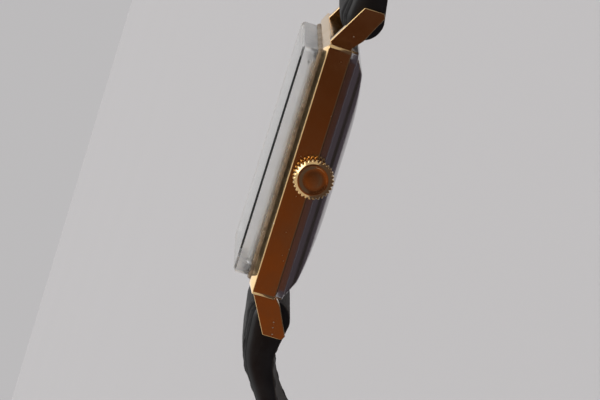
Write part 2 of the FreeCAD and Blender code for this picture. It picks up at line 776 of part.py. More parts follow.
def crown_wheel():
    """Ring that takes the turn of the stem round to the ratchet wheel."""
    x, y = crown_wheel_at
    towards = bearing(barrel_at, crown_wheel_at)
    phase = meshing_phase(towards, ratchet_teeth, towards, crown_wheel_teeth)
    plate = toothed(x, y, crown_wheel_teeth, crown_wheel_r, 0.3, ratchet_z, ratchet_top_z, phase)
    skirt = toothed(x, y, contrate_teeth, 1.3, 0.2, ratchet_top_z - 0.01, bridge_top_z, 10)
    hole = disc(x, y, 0.6, ratchet_z - 1, bridge_top_z + 1)
    return fused([plate, skirt]).cut(hole)


def crown_wheel_core():
    """Fixed post and left-hand screw that the crown wheel turns on."""
    x, y = crown_wheel_at
    post = disc(x, y, 0.55, ratchet_z - 0.05, bridge_top_z)
    head = disc(x, y, 0.85, ratchet_z - 0.2, ratchet_z - 0.03)
    slot = box(x - 1, x + 1, y - 0.08, y + 0.08, ratchet_z - 0.3, ratchet_z - 0.12)
    web = box(x - 0.55, x + 0.55, y - 0.2, y + 0.2, bridge_top_z - 0.02, bridge_top_z + 0.1)
    return fused([head, post, web]).cut(slot)


click_angle = 150.0
click_arm = 1.7
click_offset = 0.7
click_tip = beyond(barrel_at, ratchet_r + 0.02, click_angle)
click_at = beyond(beyond(barrel_at, ratchet_r + click_offset, click_angle), click_arm, click_angle + 90.0)


def click():
    """Pawl that lets the ratchet wheel turn one way: hub, arm and a pointed tip."""
    z0 = ratchet_z + 0.02
    arm = prism([beyond(click_at, 0.35, click_angle), beyond(click_at, 0.35, click_angle + 180.0),
                 click_tip, beyond(click_tip, 0.35, click_angle)], z0, ratchet_top_z)
    return fused([disc(click_at[0], click_at[1], 0.5, z0, ratchet_top_z), arm])


def click_spring():
    """Wire spring with a post in the bridge, bearing lightly on the back of the click."""
    post_at = beyond(click_at, 1.7, click_angle)
    rest_at = beyond(beyond(click_at, 0.8, click_angle - 90.0), 0.75, click_angle)
    post = disc(post_at[0], post_at[1], 0.25, ratchet_z, bridge_z)
    side = bearing(post_at, rest_at) + 90.0
    wire = prism([beyond(post_at, 0.06, side), beyond(post_at, -0.06, side),
                  beyond(rest_at, -0.06, side), beyond(rest_at, 0.06, side)],
                 ratchet_z + 0.05, ratchet_z + 0.2)
    return fused([post, wire])


# Going train

def wheel_on_arbor(at, teeth, radius, depth, wheel_z, leaves, pinion_r, pinion_z, phases, shaft):
    """Crossed wheel, pinion and pivoted arbor in one."""
    x, y = at
    wheel = toothed(x, y, teeth, radius, depth, wheel_z, wheel_z + wheel_thickness, phases[0])
    rim = radius - depth - 0.25
    wheel = wheel.cut(crossings(x, y, rim, max(pinion_r, 0.45) + 0.1, 4, wheel_z,
                                wheel_z + wheel_thickness))
    pinion = toothed(x, y, leaves, pinion_r, 0.22, pinion_z[0], pinion_z[1], phases[1])
    staff = disc(x, y, arbor_radius * 0.8, shaft[0] + 0.32, shaft[1] - 0.32)
    pivots = disc(x, y, pivot_radius, shaft[0], shaft[1])
    return fused([wheel, pinion, staff, pivots])


centre_wheel_z = plate_z - 0.25
third_wheel_z = bridge_top_z + 0.15
fourth_wheel_z = bridge_top_z + 0.45
escape_wheel_z = plate_z - 0.5
pivot_low_z = bridge_z + 0.2
pivot_high_z = plate_z + jewel_thickness


def centre_wheel():
    x, y = centre_at
    wheel = toothed(x, y, centre_teeth, centre_r, 0.2, centre_wheel_z, centre_wheel_z + 0.18, third_angle)
    wheel = wheel.cut(crossings(x, y, centre_r - 0.45, 0.8, 5, centre_wheel_z, centre_wheel_z + 0.18))
    pinion = toothed(x, y, centre_leaves, centre_pinion_r, 0.22, centre_wheel_z - 0.6, centre_wheel_z,
                     barrel_angle)
    arbor = disc(x, y, arbor_radius, bridge_z + 0.3, hand_z(1) - 0.05)
    return fused([wheel, pinion, arbor])


def hand_z(level):
    """Underside of the hour hand (0) and the minute hand (1)."""
    return dial_top_z + 0.4 + 0.35 * level


def third_wheel():
    pinion_phase = meshing_phase(third_angle, centre_teeth, third_angle, third_leaves)
    return wheel_on_arbor(third_at, third_teeth, third_r, 0.16, third_wheel_z, third_leaves,
                          third_pinion_r, (centre_wheel_z - 0.15, plate_z - 0.03),
                          (fourth_angle, pinion_phase), (pivot_low_z, pivot_high_z))


def fourth_wheel():
    pinion_phase = meshing_phase(fourth_angle, third_teeth, fourth_angle, fourth_leaves)
    return wheel_on_arbor(fourth_at, fourth_teeth, fourth_r, 0.14, fourth_wheel_z, fourth_leaves,
                          fourth_pinion_r, (third_wheel_z - 0.05, fourth_wheel_z),
                          (escape_angle, pinion_phase), (pivot_low_z, pivot_high_z))


def escape_wheel():
    """Fifteen long raked teeth."""
    x, y = escape_at
    points = []
    for i in range(escape_teeth):
        base = i * 360.0 / escape_teeth
        for radius, shift in ((escape_r - 0.45, 0.0), (escape_r - 0.45, 8.0), (escape_r, 16.0),
                              (escape_r - 0.04, 18.0)):
            dx, dy = polar(radius, base + shift)
            points.append((x + dx, y + dy))
    wheel = prism(points, escape_wheel_z, escape_wheel_z + wheel_thickness)
    wheel = wheel.cut(crossings(x, y, escape_r - 0.65, 0.42, 4, escape_wheel_z,
                                escape_wheel_z + wheel_thickness))
    phase = meshing_phase(escape_angle, fourth_teeth, escape_angle, escape_leaves)
    pinion = toothed(x, y, escape_leaves, escape_pinion_r, 0.14, fourth_wheel_z - 0.1, escape_wheel_z, phase)
    staff = disc(x, y, 0.16, bridge_top_z - 0.1, plate_z - 0.05)
    pivots = disc(x, y, pivot_radius, pivot_low_z, pivot_high_z)
    return fused([wheel, pinion, staff, pivots])


def pallet_fork():
    """Lever with two pallets that reach round the escape wheel and a forked tail."""
    x, y = pallet_at
    z0, z1 = escape_wheel_z, escape_wheel_z + 0.14
    arms = [prism([(x + 0.12, y - 0.12), (x + 0.12, y + 0.12), (x - 0.62, y + side * 1.42),
                   (x - 0.86, y + side * 1.3)], z0, z1) for side in (-1, 1)]
    tail = box(x, x + 1.45, y - 0.12, y + 0.12, z0, z1)
    fork = box(x + 1.35, x + 1.65, y - 0.35, y + 0.35, z0, z1)
    slot = box(x + 1.5, x + 2, y - 0.16, y + 0.16, z0 - 1, z1 + 1)
    staff = disc(x, y, 0.2, plate_z - 0.68, plate_z - 0.05)
    pivots = disc(x, y, pivot_radius, plate_z - 0.88, pivot_high_z)
    return fused(arms + [tail, fork, staff, pivots]).cut(slot)


balance_z = bridge_top_z + 0.05


def balance_wheel():
    x, y = balance_at
    ring = disc(x, y, balance_radius, balance_z, balance_z + 0.28)
    ring = ring.cut(disc(x, y, balance_radius - balance_rim, balance_z - 1, balance_z + 1))
    arm = box(x - balance_radius + 0.1, x + balance_radius - 0.1, y - 0.15, y + 0.15,
              balance_z, balance_z + 0.2)
    staff = disc(x, y, 0.22, bridge_z + 0.35, plate_z - 0.05)
    pivots = disc(x, y, pivot_radius, bridge_z + 0.02, pivot_high_z)
    roller = disc(x, y, 0.42, plate_z - 0.55, plate_z - 0.4)
    weights = []
    for i in range(8):
        dx, dy = polar(balance_radius + 0.02, 22.5 + 45 * i)
        weights.append(disc(x + dx, y + dy, 0.12, balance_z + 0.04, balance_z + 0.24))
    return fused([ring, arm, staff, pivots, roller] + weights)


def hairspring():
    x, y = balance_at
    z0 = bridge_z + 0.45
    collet = disc(x, y, 0.42, z0, z0 + 0.15).cut(disc(x, y, 0.22, z0 - 1, z0 + 1))
    coil = spiral(x, y, 0.4, 1.5, hairspring_turns, 0.06, z0, z0 + 0.14)
    return fused([collet, coil])


# Motion work and hands

def cannon_pinion():
    leaves = toothed(0, 0, cannon_leaves, cannon_r, 0.22, motion_z + 0.02, motion_z + 0.3, minute_wheel_angle)
    tube = disc(0, 0, 0.42, motion_z + 0.02, hand_z(1))
    return fused([leaves, tube]).cut(disc(0, 0, arbor_radius + 0.03, motion_z - 1, hand_z(1) + 1))


def hour_wheel():
    z0 = motion_z + 0.38
    phase = meshing_phase(minute_wheel_angle + 180, minute_leaves, minute_wheel_angle + 180, hour_teeth)
    teeth = toothed(0, 0, hour_teeth, hour_r, 0.16, z0, z0 + 0.2, phase)
    tube = disc(0, 0, 0.62, z0, hand_z(0))
    return fused([teeth, tube]).cut(disc(0, 0, 0.46, z0 - 1, hand_z(0) + 1))


def minute_wheel():
    x, y = minute_at
    phase = meshing_phase(minute_wheel_angle, cannon_leaves, minute_wheel_angle, minute_teeth)
    wheel = toothed(x, y, minute_teeth, minute_r, 0.16, motion_z + 0.04, motion_z + 0.22, phase)
    pinion = toothed(x, y, minute_leaves, minute_pinion_r, 0.16, motion_z + 0.2, motion_z + 0.6,
                     minute_wheel_angle + 180)
    return fused([wheel, pinion]).cut(disc(x, y, 0.2, motion_z - 1, motion_z + 1))


def setting_wheel():
    x, y = setting_at
    first = meshing_phase(minute_wheel_angle, cannon_leaves, minute_wheel_angle, minute_teeth)
    phase = meshing_phase(first, minute_teeth, setting_wheel_angle, setting_teeth)
    wheel = toothed(x, y, setting_teeth, setting_r, 0.16, motion_z + 0.04, motion_z + 0.22, phase)
    return wheel.cut(disc(x, y, 0.2, motion_z - 1, motion_z + 1))


def motion_posts():
    """Fixed studs on the plate for the minute wheel and the setting wheel."""
    posts = [disc(minute_at[0], minute_at[1], 0.17, motion_z, motion_z + 0.6)]
    posts.append(disc(setting_at[0], setting_at[1], 0.17, keyless_z - 0.05, motion_z + 0.4))
    return Part.makeCompound(posts)


def hand(length, width, eye, bore, z, hours_turn):
    """Tapered baton with a round eye."""
    tail = eye * 1.6
    outline = [(-width * 0.3, -tail), (width * 0.3, -tail), (width / 2, length * 0.25),
               (width * 0.18, length), (-width * 0.18, length), (-width / 2, length * 0.25)]
    blade = prism(outline, z, z + hand_thickness)
    body = fused([blade, disc(0, 0, eye, z, z + hand_thickness)]).cut(disc(0, 0, bore, z - 1, z + 1))
    body.rotate(Vec(0, 0, 0), Vec(0, 0, 1), -360.0 * hours_turn)
    return body


def hour_hand():
    return hand(hour_hand_length, hand_width, 0.95, 0.46, hand_z(0), hour_shown / 12.0)


def minute_hand():
    blade = hand(minute_hand_length, hand_width * 0.85, 0.75, 0.2, hand_z(1), hour_shown % 1.0)
    return blade.fuse(disc(0, 0, 0.3, hand_z(1), hand_z(1) + hand_thickness + 0.15))


def dial():
    plate = slab(cavity_width - 2 * fit_gap, cavity_length - 2 * fit_gap, case_corner, dial_z, dial_top_z)
    return plate.cut(disc(0, 0, 0.75, dial_z - 1, dial_top_z + 1))


def hour_markers():
    """Batons along the edge of the rectangular dial, longer at 12, 3, 6 and 9."""
    a = window_width / 2 - marker_margin
    b = window_length / 2 - marker_margin
    marks = []
    for hour in range(12):
        dx, dy = math.sin(math.radians(30 * hour)), math.cos(math.radians(30 * hour))
        reach = min(a / abs(dx) if abs(dx) > 0.01 else 99, b / abs(dy) if abs(dy) > 0.01 else 99)
        length = marker_length * (1.3 if hour % 3 == 0 else 1.0)
        width = marker_width * (1.5 if hour % 3 == 0 else 1.0)
        bar = box(reach - length, reach, -width / 2, width / 2, dial_top_z, dial_top_z + marker_height)
        bar.rotate(Vec(0, 0, 0), Vec(0, 0, 1), 90.0 - 30.0 * hour)
        marks.append(bar)
    inside = slab(window_width - 2 * fit_gap, window_length - 2 * fit_gap, crystal_corner, dial_z, bezel_z)
    return Part.makeCompound([mark.common(inside) for mark in marks])


# Strap

def stretches(side_length, foot_turn, foot_run):
    """Runs of the strap's middle line as (length, turn in degrees)."""
    rest = 90.0 - shoulder_angle
    return [(shoulder_run, 0.0), (shoulder_bend, shoulder_angle), (shoulder_fall, 0.0),
            (math.radians(rest) * top_turn, rest), (side_length, 0.0),
            (math.radians(90.0) * foot_turn, 90.0), (foot_run, 0.0)]


def station(path, distance):
    """Place and heading on the middle line: distance out from the bar, height, angle below level."""
    out, z, phi = bar_y, bar_z, 0.0
    for length, turn in path:
        run = max(0.0, min(distance, length))
        rate = math.radians(turn) / length if length else 0.0
        if rate:
            out += (math.sin(phi + rate * run) - math.sin(phi)) / rate
            z += (math.cos(phi + rate * run) - math.cos(phi)) / rate
            phi += rate * run
        else:
            out += run * math.cos(phi)
            z -= run * math.sin(phi)
        distance -= run
    return out, z, phi


def marks_along(path):
    """Stations for the cross-sections: close together in bends, wider on straight runs."""
    marks, start = [0.0], 0.0
    for length, turn in path:
        if not length:
            continue
        count = max(1, math.ceil(abs(turn) / station_turn), math.ceil(length / station_run))
        marks += [start + length * (i + 1) / count for i in range(count)]
        start += length
    return marks


def section(path, distance, total, end):
    """Cross-section with bevelled outer edges: deep where the strap is padded, thin further on."""
    out, z, phi = station(path, distance)
    padding = max(0.0, 1.0 - distance / pad_length) ** 1.3
    half = strap_thickness / 2 + (roll_radius - strap_thickness / 2) * padding
    width = strap_width + (strap_end_width - strap_width) * distance / total
    bevel_run = 0.6 + 1.6 * padding
    bevel_rise = 0.25 + 0.55 * padding
    a, b = width / 2, width / 2 - bevel_run
    outline = [(-a, -half), (a, -half), (a, half - bevel_rise), (b, half), (-b, half), (-a, half - bevel_rise)]
    points = [Vec(x, end * (out + n * math.sin(phi)), z + n * math.cos(phi)) for x, n in outline]
    return Part.makePolygon(points + points[:1])


def leather(path, end):
    total = sum(length for length, turn in path)
    wires = [section(path, mark, total, end) for mark in marks_along(path)]
    body = Part.makeLoft(wires, True, True)
    roll = rod_x(-strap_width / 2, strap_width / 2, end * bar_y, bar_z, roll_radius)
    bore = rod_x(-strap_width, strap_width, end * bar_y, bar_z, roll_bore)
    return body.fuse(roll).cut(bore)


shoulder_path = stretches(side_run, long_foot_turn, 0.0)
floor_z = station(shoulder_path, sum(length for length, turn in shoulder_path))[1] - strap_thickness / 2
short_side_run = side_run + long_foot_turn - short_foot_turn + strap_thickness / 2 - end_roll_radius
long_path = stretches(side_run, long_foot_turn, long_foot_run)
short_path = stretches(short_side_run, short_foot_turn, 0.0)
long_total = sum(length for length, turn in long_path)
short_total = sum(length for length, turn in short_path)
buckle_y, buckle_z, buckle_heading = station(short_path, short_total)


def normal_rod(path, distance, end, radius, reach):
    """Rod square to the strap at a station, turned with flats."""
    out, z, phi = station(path, distance)
    normal = Vec(0, end * math.sin(phi), math.cos(phi))
    along = Vec(0, end * math.cos(phi), -math.sin(phi))
    start = Vec(0, end * out, z) - normal * reach
    corners = [start + Vec(u, 0, 0) + along * v for u, v in ring_points(radius, hole_flats)]
    return Part.Face(Part.makePolygon(corners + corners[:1])).extrude(normal * (2 * reach))


def strap_long():
    """Holed half on the 6 o'clock side, with a rounded tongue."""
    body = leather(long_path, -1)
    holes = [normal_rod(long_path, long_total - hole_margin - i * hole_pitch, -1, hole_radius, 3.0)
             for i in range(hole_count)]
    tip_y = -station(long_path, long_total)[0]
    half = strap_end_width / 2
    keep = disc(0, tip_y - half * 1.1, half * 1.1, floor_z - 1, floor_z + strap_thickness + 1)
    corner = box(-half - 1, half + 1, tip_y - half * 0.75, tip_y + 1, floor_z - 0.5,
                 floor_z + strap_thickness + 0.5)
    return cut_all(body, holes + [corner.cut(keep)])


def strap_short():
    """Buckle half on the 12 o'clock side, rolled round the buckle's bar."""
    body = leather(short_path, 1)
    half = strap_end_width / 2
    roll = rod_x(-half, half, buckle_y, buckle_z, end_roll_radius)
    bore = rod_x(-half - 1, half + 1, buckle_y, buckle_z, buckle_bar_radius + 0.08)
    slot_half = tang_width / 2 + 0.25
    slot = box(-slot_half, slot_half, buckle_y - 3, buckle_y + 2.2, buckle_z - 3, buckle_z + 3)
    return cut_all(body.fuse(roll), [bore, slot])


def keeper(distance):
    """Band that goes round the strap and leaves room outside it for the tongue."""
    out, z, phi = station(short_path, distance)
    width = strap_width + (strap_end_width - strap_width) * distance / short_total
    half_x = width / 2 + keeper_gap
    low = -strap_thickness / 2 - keeper_gap
    high = strap_thickness / 2 + keeper_room + keeper_gap
    w, t = keeper_width / 2, keeper_wall
    band = box(-half_x - t, half_x + t, -w, w, low - t, high + t)
    band = band.cut(box(-half_x, half_x, -w - 1, w + 1, low, high))
    band.rotate(Vec(0, 0, 0), Vec(1, 0, 0), -math.degrees(phi))
    band.translate(Vec(0, out, z))
    return band


def free_keeper():
    start = sum(length for length, turn in short_path[:4])
    return keeper(start + free_keeper_rise)


def fixed_keeper():
    return keeper(short_total - fixed_keeper_back)


# Buckle

front_y = buckle_y - buckle_length
front_z = floor_z + front_bar_radius
arm_inner_x = strap_end_width / 2 + buckle_side_gap
arm_outer_x = arm_inner_x + buckle_arm


def buckle_frame():
    """U of rounded bar: two flat arms with eyes and a round front bar with a notch for the tang."""
    parts = [rod_x(-arm_outer_x + 0.3, arm_outer_x - 0.3, front_y, front_z, front_bar_radius)]
    for side in (-1, 1):
        x0, x1 = sorted((side * arm_inner_x, side * arm_outer_x))
        arm = side_prism([(buckle_y, buckle_z - 0.8), (buckle_y, buckle_z + 0.8),
                          (front_y, front_z + 0.9), (front_y, front_z - 0.9)], x0, x1)
        parts += [arm, rod_x(x0, x1, buckle_y, buckle_z, 1.05),
                  rod_x(x0, x1, front_y, front_z, front_bar_radius - 0.1)]
    body = fused(parts)
    bar = rod_x(-arm_outer_x + 0.5, arm_outer_x - 0.5, buckle_y, buckle_z, buckle_bar_radius)
    notch = box(-tang_width / 2, tang_width / 2, front_y - 2, front_y + 2, front_z - 2, front_z - tang_seat)
    return cut_all(body, [bar, notch])


def buckle_bar():
    return rod_x(-arm_outer_x + 0.5, arm_outer_x - 0.5, buckle_y, buckle_z, buckle_bar_radius)


def buckle_tang():
    """Prong with an eye on the bar, resting in the front bar's notch."""
    eye = rod_x(-tang_width / 2, tang_width / 2, buckle_y, buckle_z, 1.15)
    tip_y = front_y - 0.4
    prong_z = front_z - tang_seat - tang_radius - tang_gap
    wires = []
    for y, z, radius in ((buckle_y - 0.6, buckle_z - 0.3, tang_radius + 0.25), (tip_y, prong_z, tang_radius - 0.05)):
        ring = [Vec(u, y, z + v) for u, v in ring_points(radius, few_flats)]
        wires.append(Part.makePolygon(ring + ring[:1]))
    prong = Part.makeLoft(wires, True, True)
    bore = rod_x(-2, 2, buckle_y, buckle_z, buckle_bar_radius + running_gap)
    return eye.fuse(prong).cut(bore)


pieces = {
    "case_middle": case_middle,
    "lugs": lambda: Part.makeCompound([lug(side, end) for side in (-1, 1) for end in (-1, 1)]),
    "case_back": case_back,
    "crystal": crystal,
    "crystal_seal": crystal_seal,
    "spring_bars": lambda: Part.makeCompound([spring_bar(end) for end in (-1, 1)]),
    "stem_tube": stem_tube,
    "crown": crown,
    "crown_gasket": crown_gasket,
    "winding_stem": winding_stem,
    "winding_pinion": winding_pinion,
    "sliding_pinion": sliding_pinion,
    "setting_lever": setting_lever,
    "yoke": yoke,
    "movement_ring": movement_ring,
    "holder_clamps": holder_clamps,
    "main_plate": main_plate,
    "barrel_bridge": barrel_bridge,
    "train_bridge": train_bridge,
    "balance_cock": balance_cock,
    "pallet_bridge": pallet_bridge,
    "jewels": jewels,
    "bridge_screws": bridge_screws,
    "barrel_drum": barrel_drum,
    "mainspring": mainspring,
    "barrel_arbor": barrel_arbor,
    "ratchet_wheel": ratchet_wheel,
    "crown_wheel": crown_wheel,
    "crown_wheel_core": crown_wheel_core,
    "click": click,
    "click_spring": click_spring,
    "centre_wheel": centre_wheel,
    "third_wheel": third_wheel,
    "fourth_wheel": fourth_wheel,
    "escape_wheel": escape_wheel,
    "pallet_fork": pallet_fork,
    "balance_wheel": balance_wheel,
    "hairspring": hairspring,
    "cannon_pinion": cannon_pinion,
    "hour_wheel": hour_wheel,
    "minute_wheel": minute_wheel,
    "setting_wheel": setting_wheel,
    "motion_posts": motion_posts,
    "dial": dial,
    "hour_markers": hour_markers,
    "hour_hand": hour_hand,
    "minute_hand": minute_hand,
    "strap_long": strap_long,
    "strap_short": strap_short,
    "fixed_keeper": fixed_keeper,
    "free_keeper": free_keeper,
    "buckle_frame": buckle_frame,
    "buckle_bar": buckle_bar,
    "buckle_tang": buckle_tang,
}

os.makedirs("parts", exist_ok=True)
for name, make in pieces.items():
    shape = make()
    shape.exportStep("parts/" + name + ".step")
    print(name, len(shape.Solids), round(shape.Volume, 3), shape.isValid())
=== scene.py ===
"""Rectangular wristwatch: the finished look of every piece, built on the packed frame.

Lengths are in metres. X points to the crown, Y to 12 o'clock and Z up through the dial.
"""

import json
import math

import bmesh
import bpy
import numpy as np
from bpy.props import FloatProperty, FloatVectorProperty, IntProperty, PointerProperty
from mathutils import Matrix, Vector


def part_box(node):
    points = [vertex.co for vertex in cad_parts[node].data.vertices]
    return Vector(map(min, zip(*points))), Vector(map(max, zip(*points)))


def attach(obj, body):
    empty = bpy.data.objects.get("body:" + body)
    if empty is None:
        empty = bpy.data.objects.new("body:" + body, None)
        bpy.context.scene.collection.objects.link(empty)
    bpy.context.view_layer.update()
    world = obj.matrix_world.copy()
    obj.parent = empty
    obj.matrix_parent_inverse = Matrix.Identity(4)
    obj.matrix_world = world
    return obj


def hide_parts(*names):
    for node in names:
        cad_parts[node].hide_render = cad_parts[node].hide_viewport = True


bl_info = {
    "name": "Rectangular Wristwatch",
    "version": (1, 0, 0),
    "blender": (4, 5, 0),
    "location": "View3D > Sidebar > Watch",
    "description": "Gold rectangular watch with a slab crystal, a steel back and a padded black strap",
    "category": "Add Mesh",
}

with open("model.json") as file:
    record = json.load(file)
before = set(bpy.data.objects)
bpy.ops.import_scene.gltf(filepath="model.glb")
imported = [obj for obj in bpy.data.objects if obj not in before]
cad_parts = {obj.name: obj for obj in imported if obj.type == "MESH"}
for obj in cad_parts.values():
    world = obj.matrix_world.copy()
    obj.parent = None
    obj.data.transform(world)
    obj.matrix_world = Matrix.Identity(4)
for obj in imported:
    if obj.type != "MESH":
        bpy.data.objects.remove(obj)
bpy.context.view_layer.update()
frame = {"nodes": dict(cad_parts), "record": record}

mm = 0.001


# Places read from the frame

def corner(node, high):
    """Lowest or highest corner of a node as a numpy array."""
    return np.array(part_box(node)[1 if high else 0])


case_low = corner("case_middle", False)
case_high = corner("case_middle", True)
lug_high = corner("lugs", True)
back_low = corner("case_back", False)
crystal_low = corner("crystal", False)
crystal_high = corner("crystal", True)
seal_high = corner("crystal_seal", True)
crown_low = corner("crown", False)
crown_high = corner("crown", True)
dial_high = corner("dial", True)
buckle_high = corner("buckle_frame", True)
spring_bar_radius = 0.75 * mm
spring_bar_y = corner("spring_bars", True)[1] - spring_bar_radius
spring_bar_z = (corner("spring_bars", False)[2] + corner("spring_bars", True)[2]) / 2
floor_z = corner("strap_long", False)[2]
buckle_front_z = floor_z + 1.15 * mm
half_width = case_high[0]
half_length = case_high[1]
stem_z = (crown_low[2] + crown_high[2]) / 2
crystal_corner = 0.6 * mm


# Settings that a user would change

def length(name, description, value):
    return FloatProperty(name=name, description=description, default=value, unit="LENGTH", precision=6)


def colour(name, description, value):
    return FloatVectorProperty(name=name, description=description, default=value, subtype="COLOR",
                               size=3, min=0.0, max=1.0)


class WatchCaseSettings(bpy.types.PropertyGroup):
    """Sizes of the case, its back, the crystal and the crown"""
    edge_round: length("Edge rounding", "Radius of the softened flank edges", 0.12 * mm)
    lug_round: length("Lug rounding", "Radius of the softened lug edges", 0.09 * mm)
    bezel_run_side: length("Side chamfer", "Width of the front chamfer on the flanks", 1.4 * mm)
    bezel_run_end: length("End chamfer", "Width of the front chamfer on the ends", 0.8 * mm)
    bezel_rise: length("Chamfer rise", "Height of the front chamfer", 0.5 * mm)
    crystal_facet: length("Crystal facet", "Width of the polished facet round the crystal", 0.25 * mm)
    crystal_wall: length("Crystal wall", "Wall of the hollow crystal", 1.1 * mm)
    crown_teeth: IntProperty(name="Crown teeth", description="Flutes round the crown", default=30, min=8)
    crown_groove: length("Crown groove", "Depth of the grooves round the crown", 0.24 * mm)


class WatchStrapSettings(bpy.types.PropertyGroup):
    """Sizes of the padded strap, its keepers and its stitching"""
    width: length("Strap width", "Width between the lugs", 15.8 * mm)
    end_width: length("End width", "Width at the buckle", 14.0 * mm)
    thickness: length("Thickness", "Thickness past the padding", 2.3 * mm)
    roll_radius: length("Roll radius", "Radius of the padded roll at the spring bar", 2.55 * mm)
    stitch_pitch: length("Stitch pitch", "Distance from stitch to stitch", 2.3 * mm)
    stitch_length: length("Stitch length", "Length of one stitch", 1.6 * mm)
    keeper_width: length("Keeper width", "Width of the two loops", 5.0 * mm)
    keeper_wall: length("Keeper wall", "Leather thickness of the loops", 0.9 * mm)


class WatchFinishSettings(bpy.types.PropertyGroup):
    """Colours of the metals, the leather, the cement and the dial"""
    gold: colour("Gold", "Polished gold plate", (0.86, 0.58, 0.27))
    steel: colour("Steel", "Polished steel of the back", (0.52, 0.50, 0.51))
    leather: colour("Leather", "Top leather of the strap", (0.0065, 0.006, 0.006))
    lining: colour("Lining", "Inner face of the strap", (0.035, 0.027, 0.022))
    cement: colour("Cement", "Aged cement round the crystal", (0.27, 0.19, 0.11))
    dial: colour("Dial", "Dial paint", (0.72, 0.67, 0.56))


class WatchStudioSettings(bpy.types.PropertyGroup):
    """Floor, lamps and camera"""
    lens: FloatProperty(name="Lens", description="Focal length on a 36 mm sensor", default=259.5906,
                        unit="CAMERA")
    pale: colour("Background", "Floor and backdrop", (0.505, 0.495, 0.50))
    key_strength: FloatProperty(name="Key light", description="Strength of the high soft light",
                                default=1.15, min=0.0)
    fill_strength: FloatProperty(name="Fill light", description="Strength of the low soft light",
                                 default=0.5, min=0.0)


# Surfaces

def outline(width, length_, radius, steps):
    """Rectangle with round corners as (x, y): four quarter circles joined by the straight sides."""
    angles = np.linspace(0.0, math.pi / 2, steps + 1)
    arc = radius * np.stack([np.cos(angles), np.sin(angles)], axis=1)
    a, b = width / 2 - radius, length_ / 2 - radius
    parts = []
    for sx, sy, swap in ((1, 1, False), (-1, 1, True), (-1, -1, False), (1, -1, True)):
        turned = arc[::-1] if swap else arc
        parts.append(turned * (sx, sy) + (sx * a, sy * b))
    return np.concatenate(parts)


def filleted(points, radius, steps=4):
    """Closed outline whose corners are arcs: each point gives way to a circle that touches both sides."""
    points = np.array(points)
    before = np.roll(points, 1, axis=0) - points
    after = np.roll(points, -1, axis=0) - points
    before /= np.linalg.norm(before, axis=1)[:, None]
    after /= np.linalg.norm(after, axis=1)[:, None]
    half = np.arccos(np.clip((before * after).sum(axis=1), -1, 1)) / 2
    middle = before + after
    middle /= np.linalg.norm(middle, axis=1)[:, None]
    centre = points + middle * (radius / np.sin(half))[:, None]
    start = points + before * (radius / np.tan(half))[:, None] - centre
    end = points + after * (radius / np.tan(half))[:, None] - centre
    t = np.linspace(0, 1, steps + 1)[None, :, None]
    arcs = start[:, None] * (1 - t) + end[:, None] * t
    arcs *= radius / np.linalg.norm(arcs, axis=2)[:, :, None]
    return (centre[:, None] + arcs).reshape(-1, 2)


def skin(rings, loop=False):
    """Surface through closed rings: neighbours joined by quads, the ends capped, or joined in a loop."""
    rows, columns = rings.shape[:2]
    index = np.arange(rows * columns).reshape(rows, columns)
    low, high = (index, np.roll(index, -1, axis=0)) if loop else (index[:-1], index[1:])
    quads = np.stack([low, np.roll(low, -1, axis=1), np.roll(high, -1, axis=1), high], axis=-1)
    faces = quads.reshape(-1, 4).tolist()
    if not loop:
        faces += [index[0, ::-1].tolist(), index[-1].tolist()]
    return rings.reshape(-1, 3), faces


def stacked(levels, steps=6):
    """Rounded rectangles, one ring for each (width, length, corner, z) level."""
    rings = [np.insert(outline(w, l, r, steps), 2, z, axis=1) for w, l, r, z in levels]
    return np.stack(rings)


def turned(profile, centre, axis, steps=64, bend=None):
    """Surface of revolution: each (place, radius) of the profile is a ring about an X, Y or Z axis.

    bend(angle, row) may return a factor array for the radius, as for flutes.
    """
    angle = np.linspace(0, 2 * math.pi, steps, endpoint=False)
    rings = []
    for row, (place, radius) in enumerate(profile):
        r = radius * np.ones(steps) if bend is None else radius - bend(angle, row)
        u, v = r * np.cos(angle), r * np.sin(angle)
        along = np.full(steps, place)
        ring = {"X": (along, u, v), "Y": (u, along, v), "Z": (u, v, along)}[axis]
        rings.append(np.stack(ring, axis=1) + centre)
    return np.stack(rings)


def extruded(points, x0, x1):
    """Prism along X over a closed (y, z) outline."""
    sides = [np.insert(points, 0, x, axis=1) for x in (x0, x1)]
    return skin(np.stack(sides))


def joined_mesh(name, shells):
    """Mesh made of closed shells, its faces pointing outwards."""
    points, faces, count = [], [], 0
    for shell_points, shell_faces in shells:
        points.append(shell_points)
        faces += [[i + count for i in face] for face in shell_faces]
        count += len(shell_points)
    mesh = bpy.data.meshes.new(name)
    mesh.from_pydata(np.concatenate(points).tolist(), [], faces)
    shape = bmesh.new()
    shape.from_mesh(mesh)
    bmesh.ops.recalc_face_normals(shape, faces=shape.faces)
    shape.to_mesh(mesh)
    shape.free()
    return mesh


def put(name, data):
    """Object that shows a mesh, a lamp or a camera, linked to the scene."""
    item = bpy.data.objects.new(name, data)
    bpy.context.scene.collection.objects.link(item)
    return item


def add_piece(name, shells, materials, body, replaced=(), bands=None, sharp=32.0, flats=True):
    """One object made of closed shells, riding on a body.

    Where it has flats, large faces keep their own normals and only the narrow ones between them bend.
    """
    mesh = joined_mesh(name, shells)
    for material in materials:
        mesh.materials.append(material)
    if bands is not None:
        mesh.polygons.foreach_set("material_index", np.asarray(bands, dtype=np.int32))
    mesh.shade_smooth()
    mesh.set_sharp_from_angle(angle=math.radians(sharp))
    piece = put(name, mesh)
    if replaced:
        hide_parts(*replaced)
    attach(piece, body)
    if flats:
        modifier = piece.modifiers.new("flat faces", "WEIGHTED_NORMAL")
        modifier.weight = 100
        modifier.keep_sharp = True
    return piece


